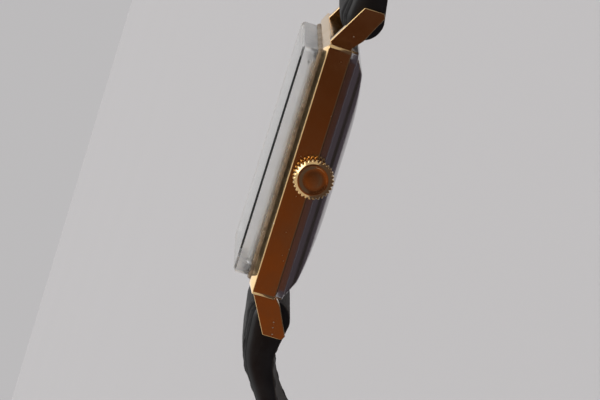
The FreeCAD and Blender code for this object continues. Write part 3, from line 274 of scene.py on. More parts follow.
def softened(piece, width, segments=3, angle=30.0):
    """Rounds the sharp edges of a piece."""
    piece.modifiers.clear()
    modifier = piece.modifiers.new("softened edges", "BEVEL")
    modifier.width = width
    modifier.segments = segments
    modifier.limit_method = "ANGLE"
    modifier.angle_limit = math.radians(angle)
    modifier.harden_normals = True


def pierced(piece, shells):
    """Cuts closed shells out of a piece and keeps the result as its mesh."""
    cutter = put("cutter", joined_mesh("cutter", shells))
    modifier = piece.modifiers.new("pierced", "BOOLEAN")
    modifier.object = cutter
    modifier.operation = "DIFFERENCE"
    modifier.solver = "EXACT"
    depsgraph = bpy.context.evaluated_depsgraph_get()
    depsgraph.update()
    cut = bpy.data.meshes.new_from_object(piece.evaluated_get(depsgraph))
    piece.modifiers.remove(modifier)
    old, cutter_mesh = piece.data, cutter.data
    piece.data = cut
    cut.name = piece.name
    bpy.data.meshes.remove(old)
    bpy.data.objects.remove(cutter)
    bpy.data.meshes.remove(cutter_mesh)


# Node groups and materials

class Nodes:
    """Places and joins shader nodes in one tree."""

    def __init__(self, tree):
        self.tree = tree

    def add(self, kind, inputs=None, **settings):
        node = self.tree.nodes.new(kind)
        for key, value in settings.items():
            setattr(node, key, value)
        for socket, value in (inputs or {}).items():
            self.feed(node.inputs[socket], value)
        return node

    def feed(self, socket, value):
        if isinstance(value, bpy.types.NodeSocket):
            self.tree.links.new(value, socket)
        else:
            socket.default_value = value

    def mix(self, factor, a, b, blend="MIX"):
        node = self.add("ShaderNodeMix", data_type="RGBA", blend_type=blend)
        self.feed(node.inputs[0], factor)
        self.feed(node.inputs[6], a)
        self.feed(node.inputs[7], b)
        return node.outputs[2]

    def math(self, operation, a, b=0.0, clamp=False):
        node = self.add("ShaderNodeMath", operation=operation, use_clamp=clamp)
        self.feed(node.inputs[0], a)
        self.feed(node.inputs[1], b)
        return node.outputs[0]

    def span(self, value, low, high, to_low=0.0, to_high=1.0):
        node = self.add("ShaderNodeMapRange", {0: value, 1: low, 2: high, 3: to_low, 4: to_high})
        return node.outputs[0]


def new_group(name, inputs, outputs):
    """Empty shader node group with named sockets; returns it with its input and output nodes."""
    group = bpy.data.node_groups.new(name, "ShaderNodeTree")
    kinds = {"colour": "NodeSocketColor", "value": "NodeSocketFloat", "vector": "NodeSocketVector"}
    for socket, kind in inputs:
        group.interface.new_socket(name=socket, in_out="INPUT", socket_type=kinds[kind])
    for socket, kind in outputs:
        group.interface.new_socket(name=socket, in_out="OUTPUT", socket_type=kinds[kind])
    nodes = Nodes(group)
    return group, nodes, nodes.add("NodeGroupInput").outputs, nodes.add("NodeGroupOutput").inputs


def worn_metal_group(name):
    """Clouded colour, uneven roughness and hairlines: noise at two scales mixes the plate with tarnish."""
    group, n, given, out = new_group(
        name,
        [("Colour", "colour"), ("Tarnish", "colour"), ("Tarnish amount", "value"), ("Scale", "value"),
         ("Roughness", "value"), ("Hairlines", "value")],
        [("Colour", "colour"), ("Roughness", "value"), ("Height", "value")])
    place = n.add("ShaderNodeTexCoord").outputs["Object"]
    clouds = n.add("ShaderNodeTexNoise", {"Vector": place, "Scale": given["Scale"], "Detail": 6.0,
                                          "Roughness": 0.6}).outputs[0]
    fine = n.add("ShaderNodeTexNoise", {"Vector": place, "Scale": n.math("MULTIPLY", given["Scale"], 9.0),
                                        "Detail": 3.0}).outputs[0]
    stretched = n.add("ShaderNodeMapping", {"Vector": place, "Scale": (1.0, 0.04, 1.0)}).outputs[0]
    lines = n.add("ShaderNodeTexNoise", {"Vector": stretched,
                                         "Scale": n.math("MULTIPLY", given["Scale"], 40.0),
                                         "Detail": 2.0}).outputs[0]
    mask = n.math("MULTIPLY", n.span(clouds, 0.42, 0.72), given["Tarnish amount"], clamp=True)
    specks = n.math("MULTIPLY", n.span(fine, 0.62, 0.72), given["Tarnish amount"], clamp=True)
    n.feed(out["Colour"], n.mix(n.math("MAXIMUM", mask, specks), given["Colour"], given["Tarnish"]))
    uneven = n.math("MULTIPLY", n.math("ADD", n.span(clouds, 0.3, 0.7), specks), 0.12)
    n.feed(out["Roughness"], n.math("ADD", given["Roughness"], uneven, clamp=True))
    n.feed(out["Height"], n.math("MULTIPLY", lines, given["Hairlines"]))
    return group


def leather_grain_group(name):
    """Calf grain: small smooth cells, pores and a slow change of shade; the cell tops take a lighter
    colour by height, partly rubbed wear and partly painted shade that leaves the creases darker.
    """
    group, n, given, out = new_group(
        name,
        [("Colour", "colour"), ("Rubbed tops and crease shade", "colour"), ("Scale", "value"), ("Roughness", "value")],
        [("Colour", "colour"), ("Roughness", "value"), ("Height", "value")])
    place = n.add("ShaderNodeTexCoord").outputs["Object"]
    warp = n.add("ShaderNodeTexNoise", {"Vector": place, "Scale": 900.0, "Detail": 2.0}).outputs[1]
    bent = n.add("ShaderNodeMix", data_type="VECTOR", factor_mode="UNIFORM")
    n.feed(bent.inputs[0], 0.0006)
    n.feed(bent.inputs[4], place)
    n.feed(bent.inputs[5], warp)
    cells = n.add("ShaderNodeTexVoronoi", {"Vector": bent.outputs[1], "Scale": given["Scale"]},
                  feature="SMOOTH_F1").outputs[0]
    pores = n.add("ShaderNodeTexNoise", {"Vector": place, "Scale": n.math("MULTIPLY", given["Scale"], 3.0),
                                         "Detail": 4.0}).outputs[0]
    shade = n.add("ShaderNodeTexNoise", {"Vector": place, "Scale": 140.0, "Detail": 4.0}).outputs[0]
    pebble = n.span(cells, 0.1, 0.75, 1.0, 0.0)
    height = n.math("ADD", n.math("MULTIPLY", pebble, 0.7), n.math("MULTIPLY", pores, 0.3))
    # Lighter cell tops and darker creases by height: partly rubbed wear, partly painted shade in the
    # creases.
    rubbed_tops_and_crease_shade = n.math("MULTIPLY", n.span(shade, 0.4, 0.75), n.span(height, 0.4, 0.8))
    n.feed(out["Colour"], n.mix(rubbed_tops_and_crease_shade, given["Colour"], given["Rubbed tops and crease shade"]))
    n.feed(out["Roughness"], n.math("SUBTRACT", given["Roughness"], n.math("MULTIPLY", height, 0.16)))
    n.feed(out["Height"], height)
    return group


def dust_group(name):
    """Small pale specks: voronoi cells whose centre distance and colour pass a threshold."""
    group, n, given, out = new_group(name, [("Scale", "value"), ("Amount", "value")], [("Mask", "value")])
    place = n.add("ShaderNodeTexCoord").outputs["Object"]
    cells = n.add("ShaderNodeTexVoronoi", {"Vector": place, "Scale": given["Scale"]})
    chosen = n.math("LESS_THAN", n.add("ShaderNodeSeparateColor", {0: cells.outputs[1]}).outputs[0],
                    given["Amount"])
    near = n.span(cells.outputs[0], 0.12, 0.26, 1.0, 0.0)
    n.feed(out["Mask"], n.math("MULTIPLY", chosen, near))
    return group


built = {}


def once(maker, name, *values):
    """The node group or material of that name, built once."""
    if name not in built:
        built[name] = maker(name, *values)
    return built[name]


def new_material(name):
    """Material with a Principled shader; returns it with its nodes and that shader."""
    material = bpy.data.materials.new(name)
    material.use_nodes = True
    nodes = Nodes(material.node_tree)
    return material, nodes, material.node_tree.nodes["Principled BSDF"]


def bump(nodes, shader, height, distance, strength=1.0):
    node = nodes.add("ShaderNodeBump", {"Height": height, "Distance": distance, "Strength": strength})
    nodes.feed(shader.inputs["Normal"], node.outputs[0])


def dust_mask(n, scale, amount):
    """The shared dust group placed in a material."""
    node = n.add("ShaderNodeGroup", node_tree=once(dust_group, "dust"))
    n.feed(node.inputs["Scale"], scale)
    n.feed(node.inputs["Amount"], amount)
    return node.outputs["Mask"]


def metal(name, tint, tarnish, amount, scale, roughness, hairlines, dusty=0.0):
    """Polished, brushed or plated metal from the worn metal group, with dust where asked."""
    material, n, shader = new_material(name)
    worn = n.add("ShaderNodeGroup", node_tree=once(worn_metal_group, "worn metal"))
    for socket, value in (("Colour", (*tint, 1)), ("Tarnish", (*tarnish, 1)), ("Tarnish amount", amount),
                          ("Scale", scale), ("Roughness", roughness), ("Hairlines", hairlines)):
        n.feed(worn.inputs[socket], value)
    base, rough = worn.outputs["Colour"], worn.outputs["Roughness"]
    shader.inputs["Metallic"].default_value = 1.0
    if dusty:
        mask = dust_mask(n, 2600.0, dusty)
        base = n.mix(mask, base, (0.75, 0.68, 0.58, 1))
        rough = n.math("ADD", rough, n.math("MULTIPLY", mask, 0.6), clamp=True)
    n.feed(shader.inputs["Base Color"], base)
    n.feed(shader.inputs["Roughness"], rough)
    bump(n, shader, worn.outputs["Height"], 0.004 * mm)
    return material


def leather(name, tint, rubbed_tops_and_crease_shade, roughness, scale=2300.0, depth=0.05):
    """Grained leather with a soft sheen."""
    material, n, shader = new_material(name)
    grain = n.add("ShaderNodeGroup", node_tree=once(leather_grain_group, "leather grain"))
    # The second colour lightens the grain tops: partly wear, partly painted shade in the creases.
    for socket, value in (("Colour", (*tint, 1)), ("Rubbed tops and crease shade", (*rubbed_tops_and_crease_shade, 1)), ("Scale", scale),
                          ("Roughness", roughness)):
        n.feed(grain.inputs[socket], value)
    n.feed(shader.inputs["Base Color"], grain.outputs["Colour"])
    n.feed(shader.inputs["Roughness"], grain.outputs["Roughness"])
    shader.inputs["Specular IOR Level"].default_value = 0.16
    bump(n, shader, grain.outputs["Height"], depth * mm)
    return material


def plain(name, tint, second, scale, roughness, depth=0.01, coat=0.0):
    """Two close shades mixed by noise, for paint, rubber, thread and stones."""
    material, n, shader = new_material(name)
    place = n.add("ShaderNodeTexCoord").outputs["Object"]
    noise = n.add("ShaderNodeTexNoise", {"Vector": place, "Scale": scale, "Detail": 5.0}).outputs[0]
    n.feed(shader.inputs["Base Color"], n.mix(n.span(noise, 0.35, 0.65), (*tint, 1), (*second, 1)))
    n.feed(shader.inputs["Roughness"], n.span(noise, 0.3, 0.7, roughness, roughness + 0.1))
    shader.inputs["Coat Weight"].default_value = coat
    bump(n, shader, noise, depth * mm)
    return material


def glass(name, tint, roughness):
    """Clear acrylic with a faint haze of fine scratches."""
    material, n, shader = new_material(name)
    place = n.add("ShaderNodeTexCoord").outputs["Object"]
    haze = n.add("ShaderNodeTexNoise", {"Vector": place, "Scale": 700.0, "Detail": 5.0}).outputs[0]
    n.feed(shader.inputs["Base Color"], n.mix(n.span(haze, 0.4, 0.7), (*tint, 1), (0.90, 0.91, 0.90, 1)))
    n.feed(shader.inputs["Roughness"], n.span(haze, 0.45, 0.75, roughness, roughness + 0.08))
    shader.inputs["Transmission Weight"].default_value = 1.0
    shader.inputs["IOR"].default_value = 1.49
    return material


def cement(name, tint):
    """Brown aged cement: mottled, with pale crumbs and dark pits."""
    pit, film, crumb = (0.10, 0.065, 0.035, 1), (0.42, 0.36, 0.27, 1), (0.55, 0.48, 0.38, 1)
    material, n, shader = new_material(name)
    place = n.add("ShaderNodeTexCoord").outputs["Object"]
    noise = n.add("ShaderNodeTexNoise", {"Vector": place, "Scale": 1500.0, "Detail": 8.0,
                                         "Roughness": 0.7}).outputs[0]
    slow = n.add("ShaderNodeTexNoise", {"Vector": place, "Scale": 260.0, "Detail": 3.0}).outputs[0]
    mask = dust_mask(n, 3200.0, 0.35)
    base = n.mix(n.span(noise, 0.4, 0.6), (*tint, 1), pit)
    base = n.mix(n.math("MULTIPLY", n.span(slow, 0.45, 0.65), 0.5), base, film)
    n.feed(shader.inputs["Base Color"], n.mix(mask, base, crumb))
    n.feed(shader.inputs["Roughness"], n.span(noise, 0.3, 0.7, 0.3, 0.6))
    bump(n, shader, noise, 0.06 * mm)
    return material


def shaded(tint, factor):
    """A colour brought down or up by a factor."""
    return tuple(c * factor for c in tint)


def finish_of(slot):
    """Material of a record slot, for carried-over nodes and for the new pieces alike."""
    look = bpy.context.scene.watch_finish
    gold, steel, calf = tuple(look.gold), tuple(look.steel), tuple(look.leather)
    dial, seal = tuple(look.dial), tuple(look.cement)
    gold_plate = (metal, "polished gold plate", gold, shaded(gold, 0.75), 0.25, 240.0, 0.07, 0.2, 0.02)
    finishes = {
        "gold_case": gold_plate,
        "gold_buckle": gold_plate,
        "gold_hands": (metal, "gilt hands", gold, shaded(gold, 0.85), 0.1, 500.0, 0.12, 0.1),
        "polished_steel": (metal, "polished steel", steel, shaded(steel, 0.8), 0.25, 220.0, 0.1, 0.6),
        "hardened_steel": (metal, "hardened steel", (0.50, 0.50, 0.52), (0.38, 0.37, 0.37),
                           0.3, 600.0, 0.22, 0.8),
        "blued_steel": (metal, "blued steel", (0.05, 0.09, 0.34), (0.10, 0.07, 0.22),
                        0.4, 600.0, 0.16, 0.2),
        "nickel_plate": (metal, "frosted nickel", (0.66, 0.64, 0.58), (0.52, 0.49, 0.42),
                         0.3, 420.0, 0.3, 1.0),
        "wheel_brass": (metal, "wheel brass", (0.75, 0.58, 0.28), (0.58, 0.42, 0.18),
                        0.3, 700.0, 0.2, 0.8),
        "ruby": (plain, "ruby", (0.60, 0.03, 0.12), (0.42, 0.01, 0.07), 900.0, 0.05, 0.0, 0.6),
        "crystal_glass": (glass, "watch crystal", (0.97, 0.98, 0.97), 0.015),
        "seal_resin": (cement, "aged cement", seal),
        "gasket_rubber": (plain, "gasket rubber", (0.02, 0.02, 0.02), (0.035, 0.034, 0.033), 1200.0, 0.6),
        "dial_paint": (plain, "dial paint", dial, shaded(dial, 0.93), 500.0, 0.35, 0.004, 0.3),
        # Its second colour lightens the grain tops: partly wear, partly painted crease shade.
        "black_leather": (leather, "black calf", calf, shaded(calf, 1.9), 0.74),
    }
    return once(*finishes[slot])


def lining_leather():
    tint = tuple(bpy.context.scene.watch_finish.lining)
    # Its second colour lightens the grain tops: partly wear, partly painted crease shade.
    return once(leather, "strap lining", tint, shaded(tint, 1.8), 0.8, 3400.0, 0.03)


def edge_paint():
    tint = tuple(bpy.context.scene.watch_finish.leather)
    return once(plain, "edge paint", shaded(tint, 0.8), shaded(tint, 1.4), 700.0, 0.35, 0.03)


def thread():
    return once(plain, "black thread", (0.02, 0.019, 0.019), (0.05, 0.048, 0.047), 9000.0, 0.7, 0.02)


# Case

def window_half():
    """Half width and half length of the opening inside the crystal's walls."""
    wall = bpy.context.scene.watch_case.crystal_wall
    return crystal_high[0] - wall, crystal_high[1] - wall


def build_case_middle():
    """Flanks with rounded edges, front chamfer, seat, window and cavity: one loop of rounded outlines."""
    look = bpy.context.scene.watch_case
    radius = look.edge_round
    corner_r, soft, play, under_crystal = 0.5 * mm, 0.05 * mm, 0.2 * mm, 0.02 * mm
    width, length_ = 2 * half_width, 2 * half_length
    case_z, bezel_z, dial_z = case_low[2], case_high[2], dial_high[2]
    flank_top, seat_z = bezel_z - look.bezel_rise, crystal_low[2] - under_crystal
    seat_w, seat_l = 2 * crystal_high[0] + play, 2 * crystal_high[1] + play
    window_w, window_l = (2 * half for half in window_half())
    cavity_w, cavity_l = 2 * dial_high[0] + play, 2 * dial_high[1] + play
    lower = [(radius - radius * math.sin(a), case_z + radius - radius * math.cos(a))
             for a in np.linspace(0, math.pi / 2, 5)]
    upper = [(radius - radius * math.cos(a), flank_top - radius + radius * math.sin(a))
             for a in np.linspace(0, math.pi / 2 * 0.75, 5)]
    sections = [(width - 2 * inset, length_ - 2 * inset, z) for inset, z in lower + upper]
    sections += [(width - 2 * look.bezel_run_side, length_ - 2 * look.bezel_run_end, bezel_z),
                 (seat_w + 2 * soft, seat_l + 2 * soft, bezel_z), (seat_w, seat_l, bezel_z - soft),
                 (seat_w, seat_l, seat_z), (window_w, window_l, seat_z), (window_w, window_l, dial_z),
                 (cavity_w, cavity_l, dial_z), (cavity_w, cavity_l, case_z)]
    levels = [(w, l, corner_r, z) for w, l, z in sections]
    add_piece("case_frame", [skin(stacked(levels), loop=True)], [finish_of("gold_case")], "case",
              ["case_middle"])


def build_lugs():
    """Four slanting plates: a (y, z) outline with a rounded nose, drawn out along X and softened."""
    look = bpy.context.scene.watch_case
    thickness, nose_round = 1.2 * mm, 0.14 * mm
    sunk, shoulder_rise, heel = 0.3 * mm, 0.17 * mm, 1.0 * mm
    tip_drop, tip_rise, tip_cut = 2.74 * mm, 0.3 * mm, 0.5 * mm
    y0, y1 = half_length - sunk, lug_high[1]
    flank_top, low = case_high[2] - look.bezel_rise, corner("lugs", False)[2]
    points = [(y0, case_low[2] + look.edge_round), (y0, flank_top - look.edge_round + shoulder_rise),
              (y1, flank_top - tip_drop), (y1, low + tip_rise), (y1 - tip_cut, low),
              (half_length + heel, case_low[2] - heel)]
    shape = filleted(points, nose_round)
    shells = [extruded(shape * (end, 1), side * (lug_high[0] - thickness), side * lug_high[0])
              for end in (-1, 1) for side in (-1, 1)]
    piece = add_piece("lug_plates", shells, [finish_of("gold_case")], "case", ["lugs"])
    softened(piece, look.lug_round)


def build_case_back():
    """Steel rim with a bulge: the lower of a long arc and two short arcs, joined softly.

    The long profile is flat, then a circle of 50 mm, then a straight slope; the cross profile is
    flat, then a circle that rises to the rim. The height is the smooth maximum of the two.
    """
    drop, rim_height, inset, soft = 2.0 * mm, 0.82 * mm, 0.12 * mm, 0.12 * mm
    rim_corner, lip_corner, lip_inside = 1.3 * mm, 0.5 * mm, 0.3 * mm
    lip_w, lip_l, lip_wall, lip_height, pan = 21.5 * mm, 27.5 * mm, 0.45 * mm, 0.5 * mm, 0.4 * mm
    rim_z = back_low[2] + drop
    rim_top = rim_z + rim_height
    lip_top = rim_top + lip_height
    width, length_ = 2 * (half_width - inset), 2 * (half_length - inset)
    levels = [(width - 2 * soft * (1 - math.sin(a)), length_ - 2 * soft * (1 - math.sin(a)), rim_corner,
               rim_z + soft * (1 - math.cos(a))) for a in np.linspace(0, math.pi / 2, 5)]
    levels += [(width, length_, rim_corner, rim_top), (lip_w, lip_l, lip_corner, rim_top),
               (lip_w, lip_l, lip_corner, lip_top)]
    levels += [(lip_w - 2 * lip_wall, lip_l - 2 * lip_wall, lip_inside, z) for z in (lip_top, rim_z + pan)]
    rim = skin(stacked(levels, 8))

    edge, flat_x, flat_y, slope, long_radius = 0.6 * mm, 7.5 * mm, 3.0 * mm, 1.9 * mm, 50.0 * mm
    blend, overlap = 0.05 * mm, 0.05 * mm
    x_rim, y_rim = half_width - edge, half_length - edge
    x = x_rim * np.linspace(-1, 1, 121)
    y = y_rim * np.linspace(-1, 1, 141)
    knee = y_rim - slope
    run = np.minimum(np.clip(np.abs(y) - flat_y, 0, None), knee - flat_y)
    arc = long_radius - np.sqrt(long_radius ** 2 - run ** 2)
    lengthwise = arc + np.clip(np.abs(y) - knee, 0, None) * (drop - arc.max()) / slope
    reach = x_rim - flat_x
    radius = (reach ** 2 + drop ** 2) / (2 * drop)
    crosswise = radius - np.sqrt(radius ** 2 - np.clip(np.abs(x) - flat_x, 0, reach) ** 2)
    height = np.logaddexp(lengthwise[:, None] / blend, crosswise[None, :] / blend) * blend
    height = np.minimum(height, drop) + back_low[2]
    gx, gy = np.meshgrid(x, y)
    bulge = np.stack([gx, gy, height], axis=-1).reshape(-1, 3)
    index = np.arange(gx.size).reshape(gx.shape)
    quads = np.stack([index[:-1, :-1], index[:-1, 1:], index[1:, 1:], index[1:, :-1]], -1).reshape(-1, 4)
    border = np.concatenate([index[0, :-1], index[:-1, -1], index[-1, :0:-1], index[:0:-1, 0]])
    lid = bulge[border] * (1, 1, 0) + (0, 0, rim_z + overlap)
    ring = np.arange(len(border)) + gx.size
    walls = np.stack([border, np.roll(border, -1), np.roll(ring, -1), ring], axis=-1)
    faces = quads.tolist() + walls.tolist() + [ring.tolist()]
    add_piece("snap_back", [rim, (np.concatenate([bulge, lid]), faces)], [finish_of("polished_steel")],
              "case", ["case_back"], sharp=24.0)


def build_crystal():
    """Hollow slab: eased roof and wall inside, upright wall and facets outside, as one closed skin.

    The bands from ring to ring are hazy, apart from the last one, which is the clear facet.
    """
    look = bpy.context.scene.watch_case
    w, l, r = 2 * crystal_high[0], 2 * crystal_high[1], crystal_corner
    low, high, facet, wall = crystal_low[2], crystal_high[2], look.crystal_facet, look.crystal_wall
    inner_w, inner_l, roof, eased = w - 2 * wall, l - 2 * wall, high - wall, 0.45 * mm
    levels = [(inner_w - 2 * eased, inner_l - 2 * eased, r, roof),
              (inner_w - 0.6 * eased, inner_l - 0.6 * eased, r, roof - 0.3 * eased),
              (inner_w, inner_l, r, roof - eased), (inner_w, inner_l, r, low), (w, l, r, low),
              (w, l, r, high - facet), (w - 2 * facet, l - 2 * facet, r, high)]
    shell = skin(stacked(levels, 5))
    ring = len(shell[0]) // len(levels)
    bands = np.repeat([1] * (len(levels) - 2) + [0], ring).tolist() + [0, 0]
    hazy = once(glass, "hazy crystal wall", (0.97, 0.97, 0.96), 0.28)
    add_piece("crystal_slab", [shell], [finish_of("crystal_glass"), hazy], "case", ["crystal"],
              bands, sharp=20.0)


def build_crystal_seal():
    """Uneven bead: a rounded rib on a rounded rectangle whose width and height ripple along the way."""
    half_w, half_l, bezel_z = crystal_high[0], crystal_high[1], case_high[2]
    reach, height = seal_high[0] - half_w, seal_high[2] - bezel_z
    profile = [(0.02, -0.9), (0.1, -0.9), (0.1, -0.05), (1.0, -0.05), (0.98, 0.3), (0.85, 0.62),
               (0.6, 0.88), (0.35, 1.0), (0.02, 1.0)]
    step = 0.25 * mm
    path = outline(2 * half_w, 2 * half_l, crystal_corner, 8)
    dense = []
    for start, end in zip(path, np.roll(path, -1, axis=0)):
        count = max(1, int(np.linalg.norm(end - start) / step))
        dense.append(start + (end - start) * np.arange(count)[:, None] / count)
    dense = np.concatenate(dense)
    direction = np.where(np.abs(dense) > np.array([half_w, half_l]) - crystal_corner, np.sign(dense), 0.0)
    direction /= np.linalg.norm(direction, axis=1)[:, None]
    along = np.linspace(0, 2 * math.pi, len(dense), endpoint=False)
    ripple = 1 + 0.05 * np.sin(23 * along) + 0.04 * np.sin(61 * along + 1) + 0.03 * np.sin(113 * along + 2)
    ripple /= ripple.max()
    rings = []
    for share_out, share_up in profile:
        spread = reach * share_out * (ripple if share_out > 0.1 else np.ones(len(dense)))
        rise = height * share_up * (ripple if share_up > 0 else np.ones(len(dense)))
        rings.append(np.column_stack([dense + direction * spread[:, None], bezel_z + rise]))
    add_piece("cement_bead", [skin(np.stack(rings), loop=True)], [finish_of("seal_resin")], "case",
              ["crystal_seal"], sharp=50.0)


def build_crown():
    """Fluted button turned about X: radius = profile - groove depth x (1 - |sin(teeth x angle / 2)|).

    Each row is a place from the case outwards in mm, a radius and the share of the groove's depth.
    """
    look = bpy.context.scene.watch_case
    x0, x1 = crown_low[0], crown_high[0]
    tip = crown_high[2] - stem_z
    core = tip - 0.3 * mm
    rows = [(0.3, 1.05 * mm, 0), (0.0, 1.10 * mm, 0), (0.0, core - 0.22 * mm, 0),
            (0.06, core - 0.15 * mm, 0), (0.24, core - 0.1 * mm, 0), (0.25, core + 0.05 * mm, 0.2),
            (0.32, tip - 0.06 * mm, 0.8),
            (0.42, tip, 1), (0.8, tip, 1), (1.2, tip, 1), (1.48, tip, 1), (1.6, tip - 0.07 * mm, 0.8),
            (1.68, core + 0.1 * mm, 0.3), (1.72, core + 0.02 * mm, 0), (1.84, core - 0.08 * mm, 0),
            (1.9, core - 0.2 * mm, 0), (1.93, core - 0.3 * mm, 0), (1.93, core - 0.48 * mm, 0),
            (1.88, core - 0.56 * mm, 0), (1.86, core - 0.8 * mm, 0), (1.88, core - 1.2 * mm, 0),
            (1.89, core - 1.6 * mm, 0), (1.89, 0.05 * mm, 0)]

    def flutes(angle, row):
        groove = 1 - np.abs(np.sin(look.crown_teeth * angle / 2))
        return look.crown_groove * rows[row][2] * groove ** 1.2

    profile = [(x0 + place * mm, radius) for place, radius, depth in rows]
    rings = turned(profile, np.array([0, 0, stem_z]), "X", 8 * look.crown_teeth, flutes)
    rings[..., 0] = np.minimum(rings[..., 0], x1)
    add_piece("fluted_crown", [skin(rings)], [finish_of("gold_case")], "crown", ["crown"],
              sharp=40.0)


# Strap path

def strap_runs(side_length, foot_turn, foot_length):
    """Runs of the strap's middle line as (length, turn in radians)."""
    shoulder, rest = math.radians(30.0), math.radians(60.0)
    return [(2.9 * mm, 0.0), (3.5 * mm, shoulder), (3.0 * mm, 0.0), (rest * wrist_turn, rest),
            (side_length, 0.0), (math.pi / 2 * foot_turn, math.pi / 2), (foot_length, 0.0)]


def stations(runs, distances):
    """Place and heading along the middle line: each run adds a straight or an arc of its own turn.

    Distances before the start and past the end run straight on.
    """
    distances = np.asarray(distances, dtype=float)
    out = np.full(distances.shape, spring_bar_y)
    z = np.full(distances.shape, spring_bar_z)
    phi = np.zeros(distances.shape)
    left = distances.copy()
    lowest = -1.0
    for run_length, turn in runs:
        if run_length == 0:
            continue
        run = np.clip(left, lowest, run_length)
        lowest = 0.0
        rate = turn / run_length
        if rate:
            out = out + (np.sin(phi + rate * run) - np.sin(phi)) / rate
            z = z + (np.cos(phi + rate * run) - np.cos(phi)) / rate
            phi = phi + rate * run
        else:
            out = out + run * np.cos(phi)
            z = z - run * np.sin(phi)
        left = left - run
    return out + left * np.cos(phi), z - left * np.sin(phi), phi


# The strap's straight sides, the radii of its bends, and the long half's foot; the short half ends at
# the height that lets the roll round the buckle's bar lie on the floor like the long half's foot.
side_run = 19.0 * mm
wrist_turn = 18.0 * mm
long_foot_turn = 18.0 * mm
short_foot_turn = 14.0 * mm
foot_run = 27.0 * mm
end_roll = 1.5 * mm
foot_half_thickness = 1.15 * mm
short_side_run = side_run + long_foot_turn - short_foot_turn + foot_half_thickness - end_roll
long_runs = strap_runs(side_run, long_foot_turn, foot_run)
short_runs = strap_runs(short_side_run, short_foot_turn, 0.0)
long_total = sum(run for run, turn in long_runs)
short_total = sum(run for run, turn in short_runs)

# How far the padding reaches from the bar, where the stitches run as a share of the half width,
# where they start, and how far a cutter passes through the leather.
padding_run = 11.0 * mm
stitch_place = 0.82
first_stitch = 3.5 * mm
cut_reach = 3 * mm


def station(runs, distance):
    """One place and heading along the middle line, as plain numbers."""
    return tuple(float(value) for value in stations(runs, distance))


def strap_points(place, x, n, along=0.0, end=1):
    """Points at x across, n outwards and some way along from a place (out, z, heading) on the path."""
    out, z, phi = place
    y = out + n * np.sin(phi) + along * np.cos(phi)
    up = z + n * np.cos(phi) - along * np.sin(phi)
    return np.stack(np.broadcast_arrays(x, end * y, up), axis=-1)


def strap_half_width(distances, total):
    """Half of the strap's width, which tapers from the lugs to the buckle."""
    look = bpy.context.scene.watch_strap
    return (look.width + (look.end_width - look.width) * np.clip(distances, 0, None) / total) / 2


def strap_depth(distances, total, rolled):
    """Half thickness and padding: full at the bar, thin past the padding, rolled again at the buckle."""
    look = bpy.context.scene.watch_strap
    tiny = 1e-10
    padding = np.clip(1 - np.clip(distances, 0, None) / padding_run, 0, None) ** 1.3
    half = look.thickness / 2 + (look.roll_radius - look.thickness / 2) * padding
    back = distances < 0
    half = np.where(back, np.sqrt(np.clip(look.roll_radius ** 2 - distances ** 2, tiny, None)), half)
    if rolled:
        near = np.abs(distances - total) < end_roll
        roll = np.sqrt(np.clip(end_roll ** 2 - (distances - total) ** 2, tiny, None))
        half = np.where(near, np.where(distances > total, roll, np.maximum(half, roll)), half)
    return half, padding


def strap_top(u, half, padding, width):
    """Outer face: a pillow whose edges fall away, with a shallow groove under the stitches."""
    run = (0.9 * mm + 1.5 * mm * padding) / width
    rise = np.minimum(0.3 * mm + 0.6 * mm * padding, 0.7 * half)
    edge = np.clip((np.abs(u) - (1 - run)) / run, 0, 1)
    fine = np.minimum(0.10 * mm, 0.1 * half)
    crown = fine * (1 - u ** 2)
    groove = fine * np.exp(-((np.abs(u) - stitch_place) / 0.03) ** 2)
    return half - fine + crown - rise * edge ** 1.8 - groove


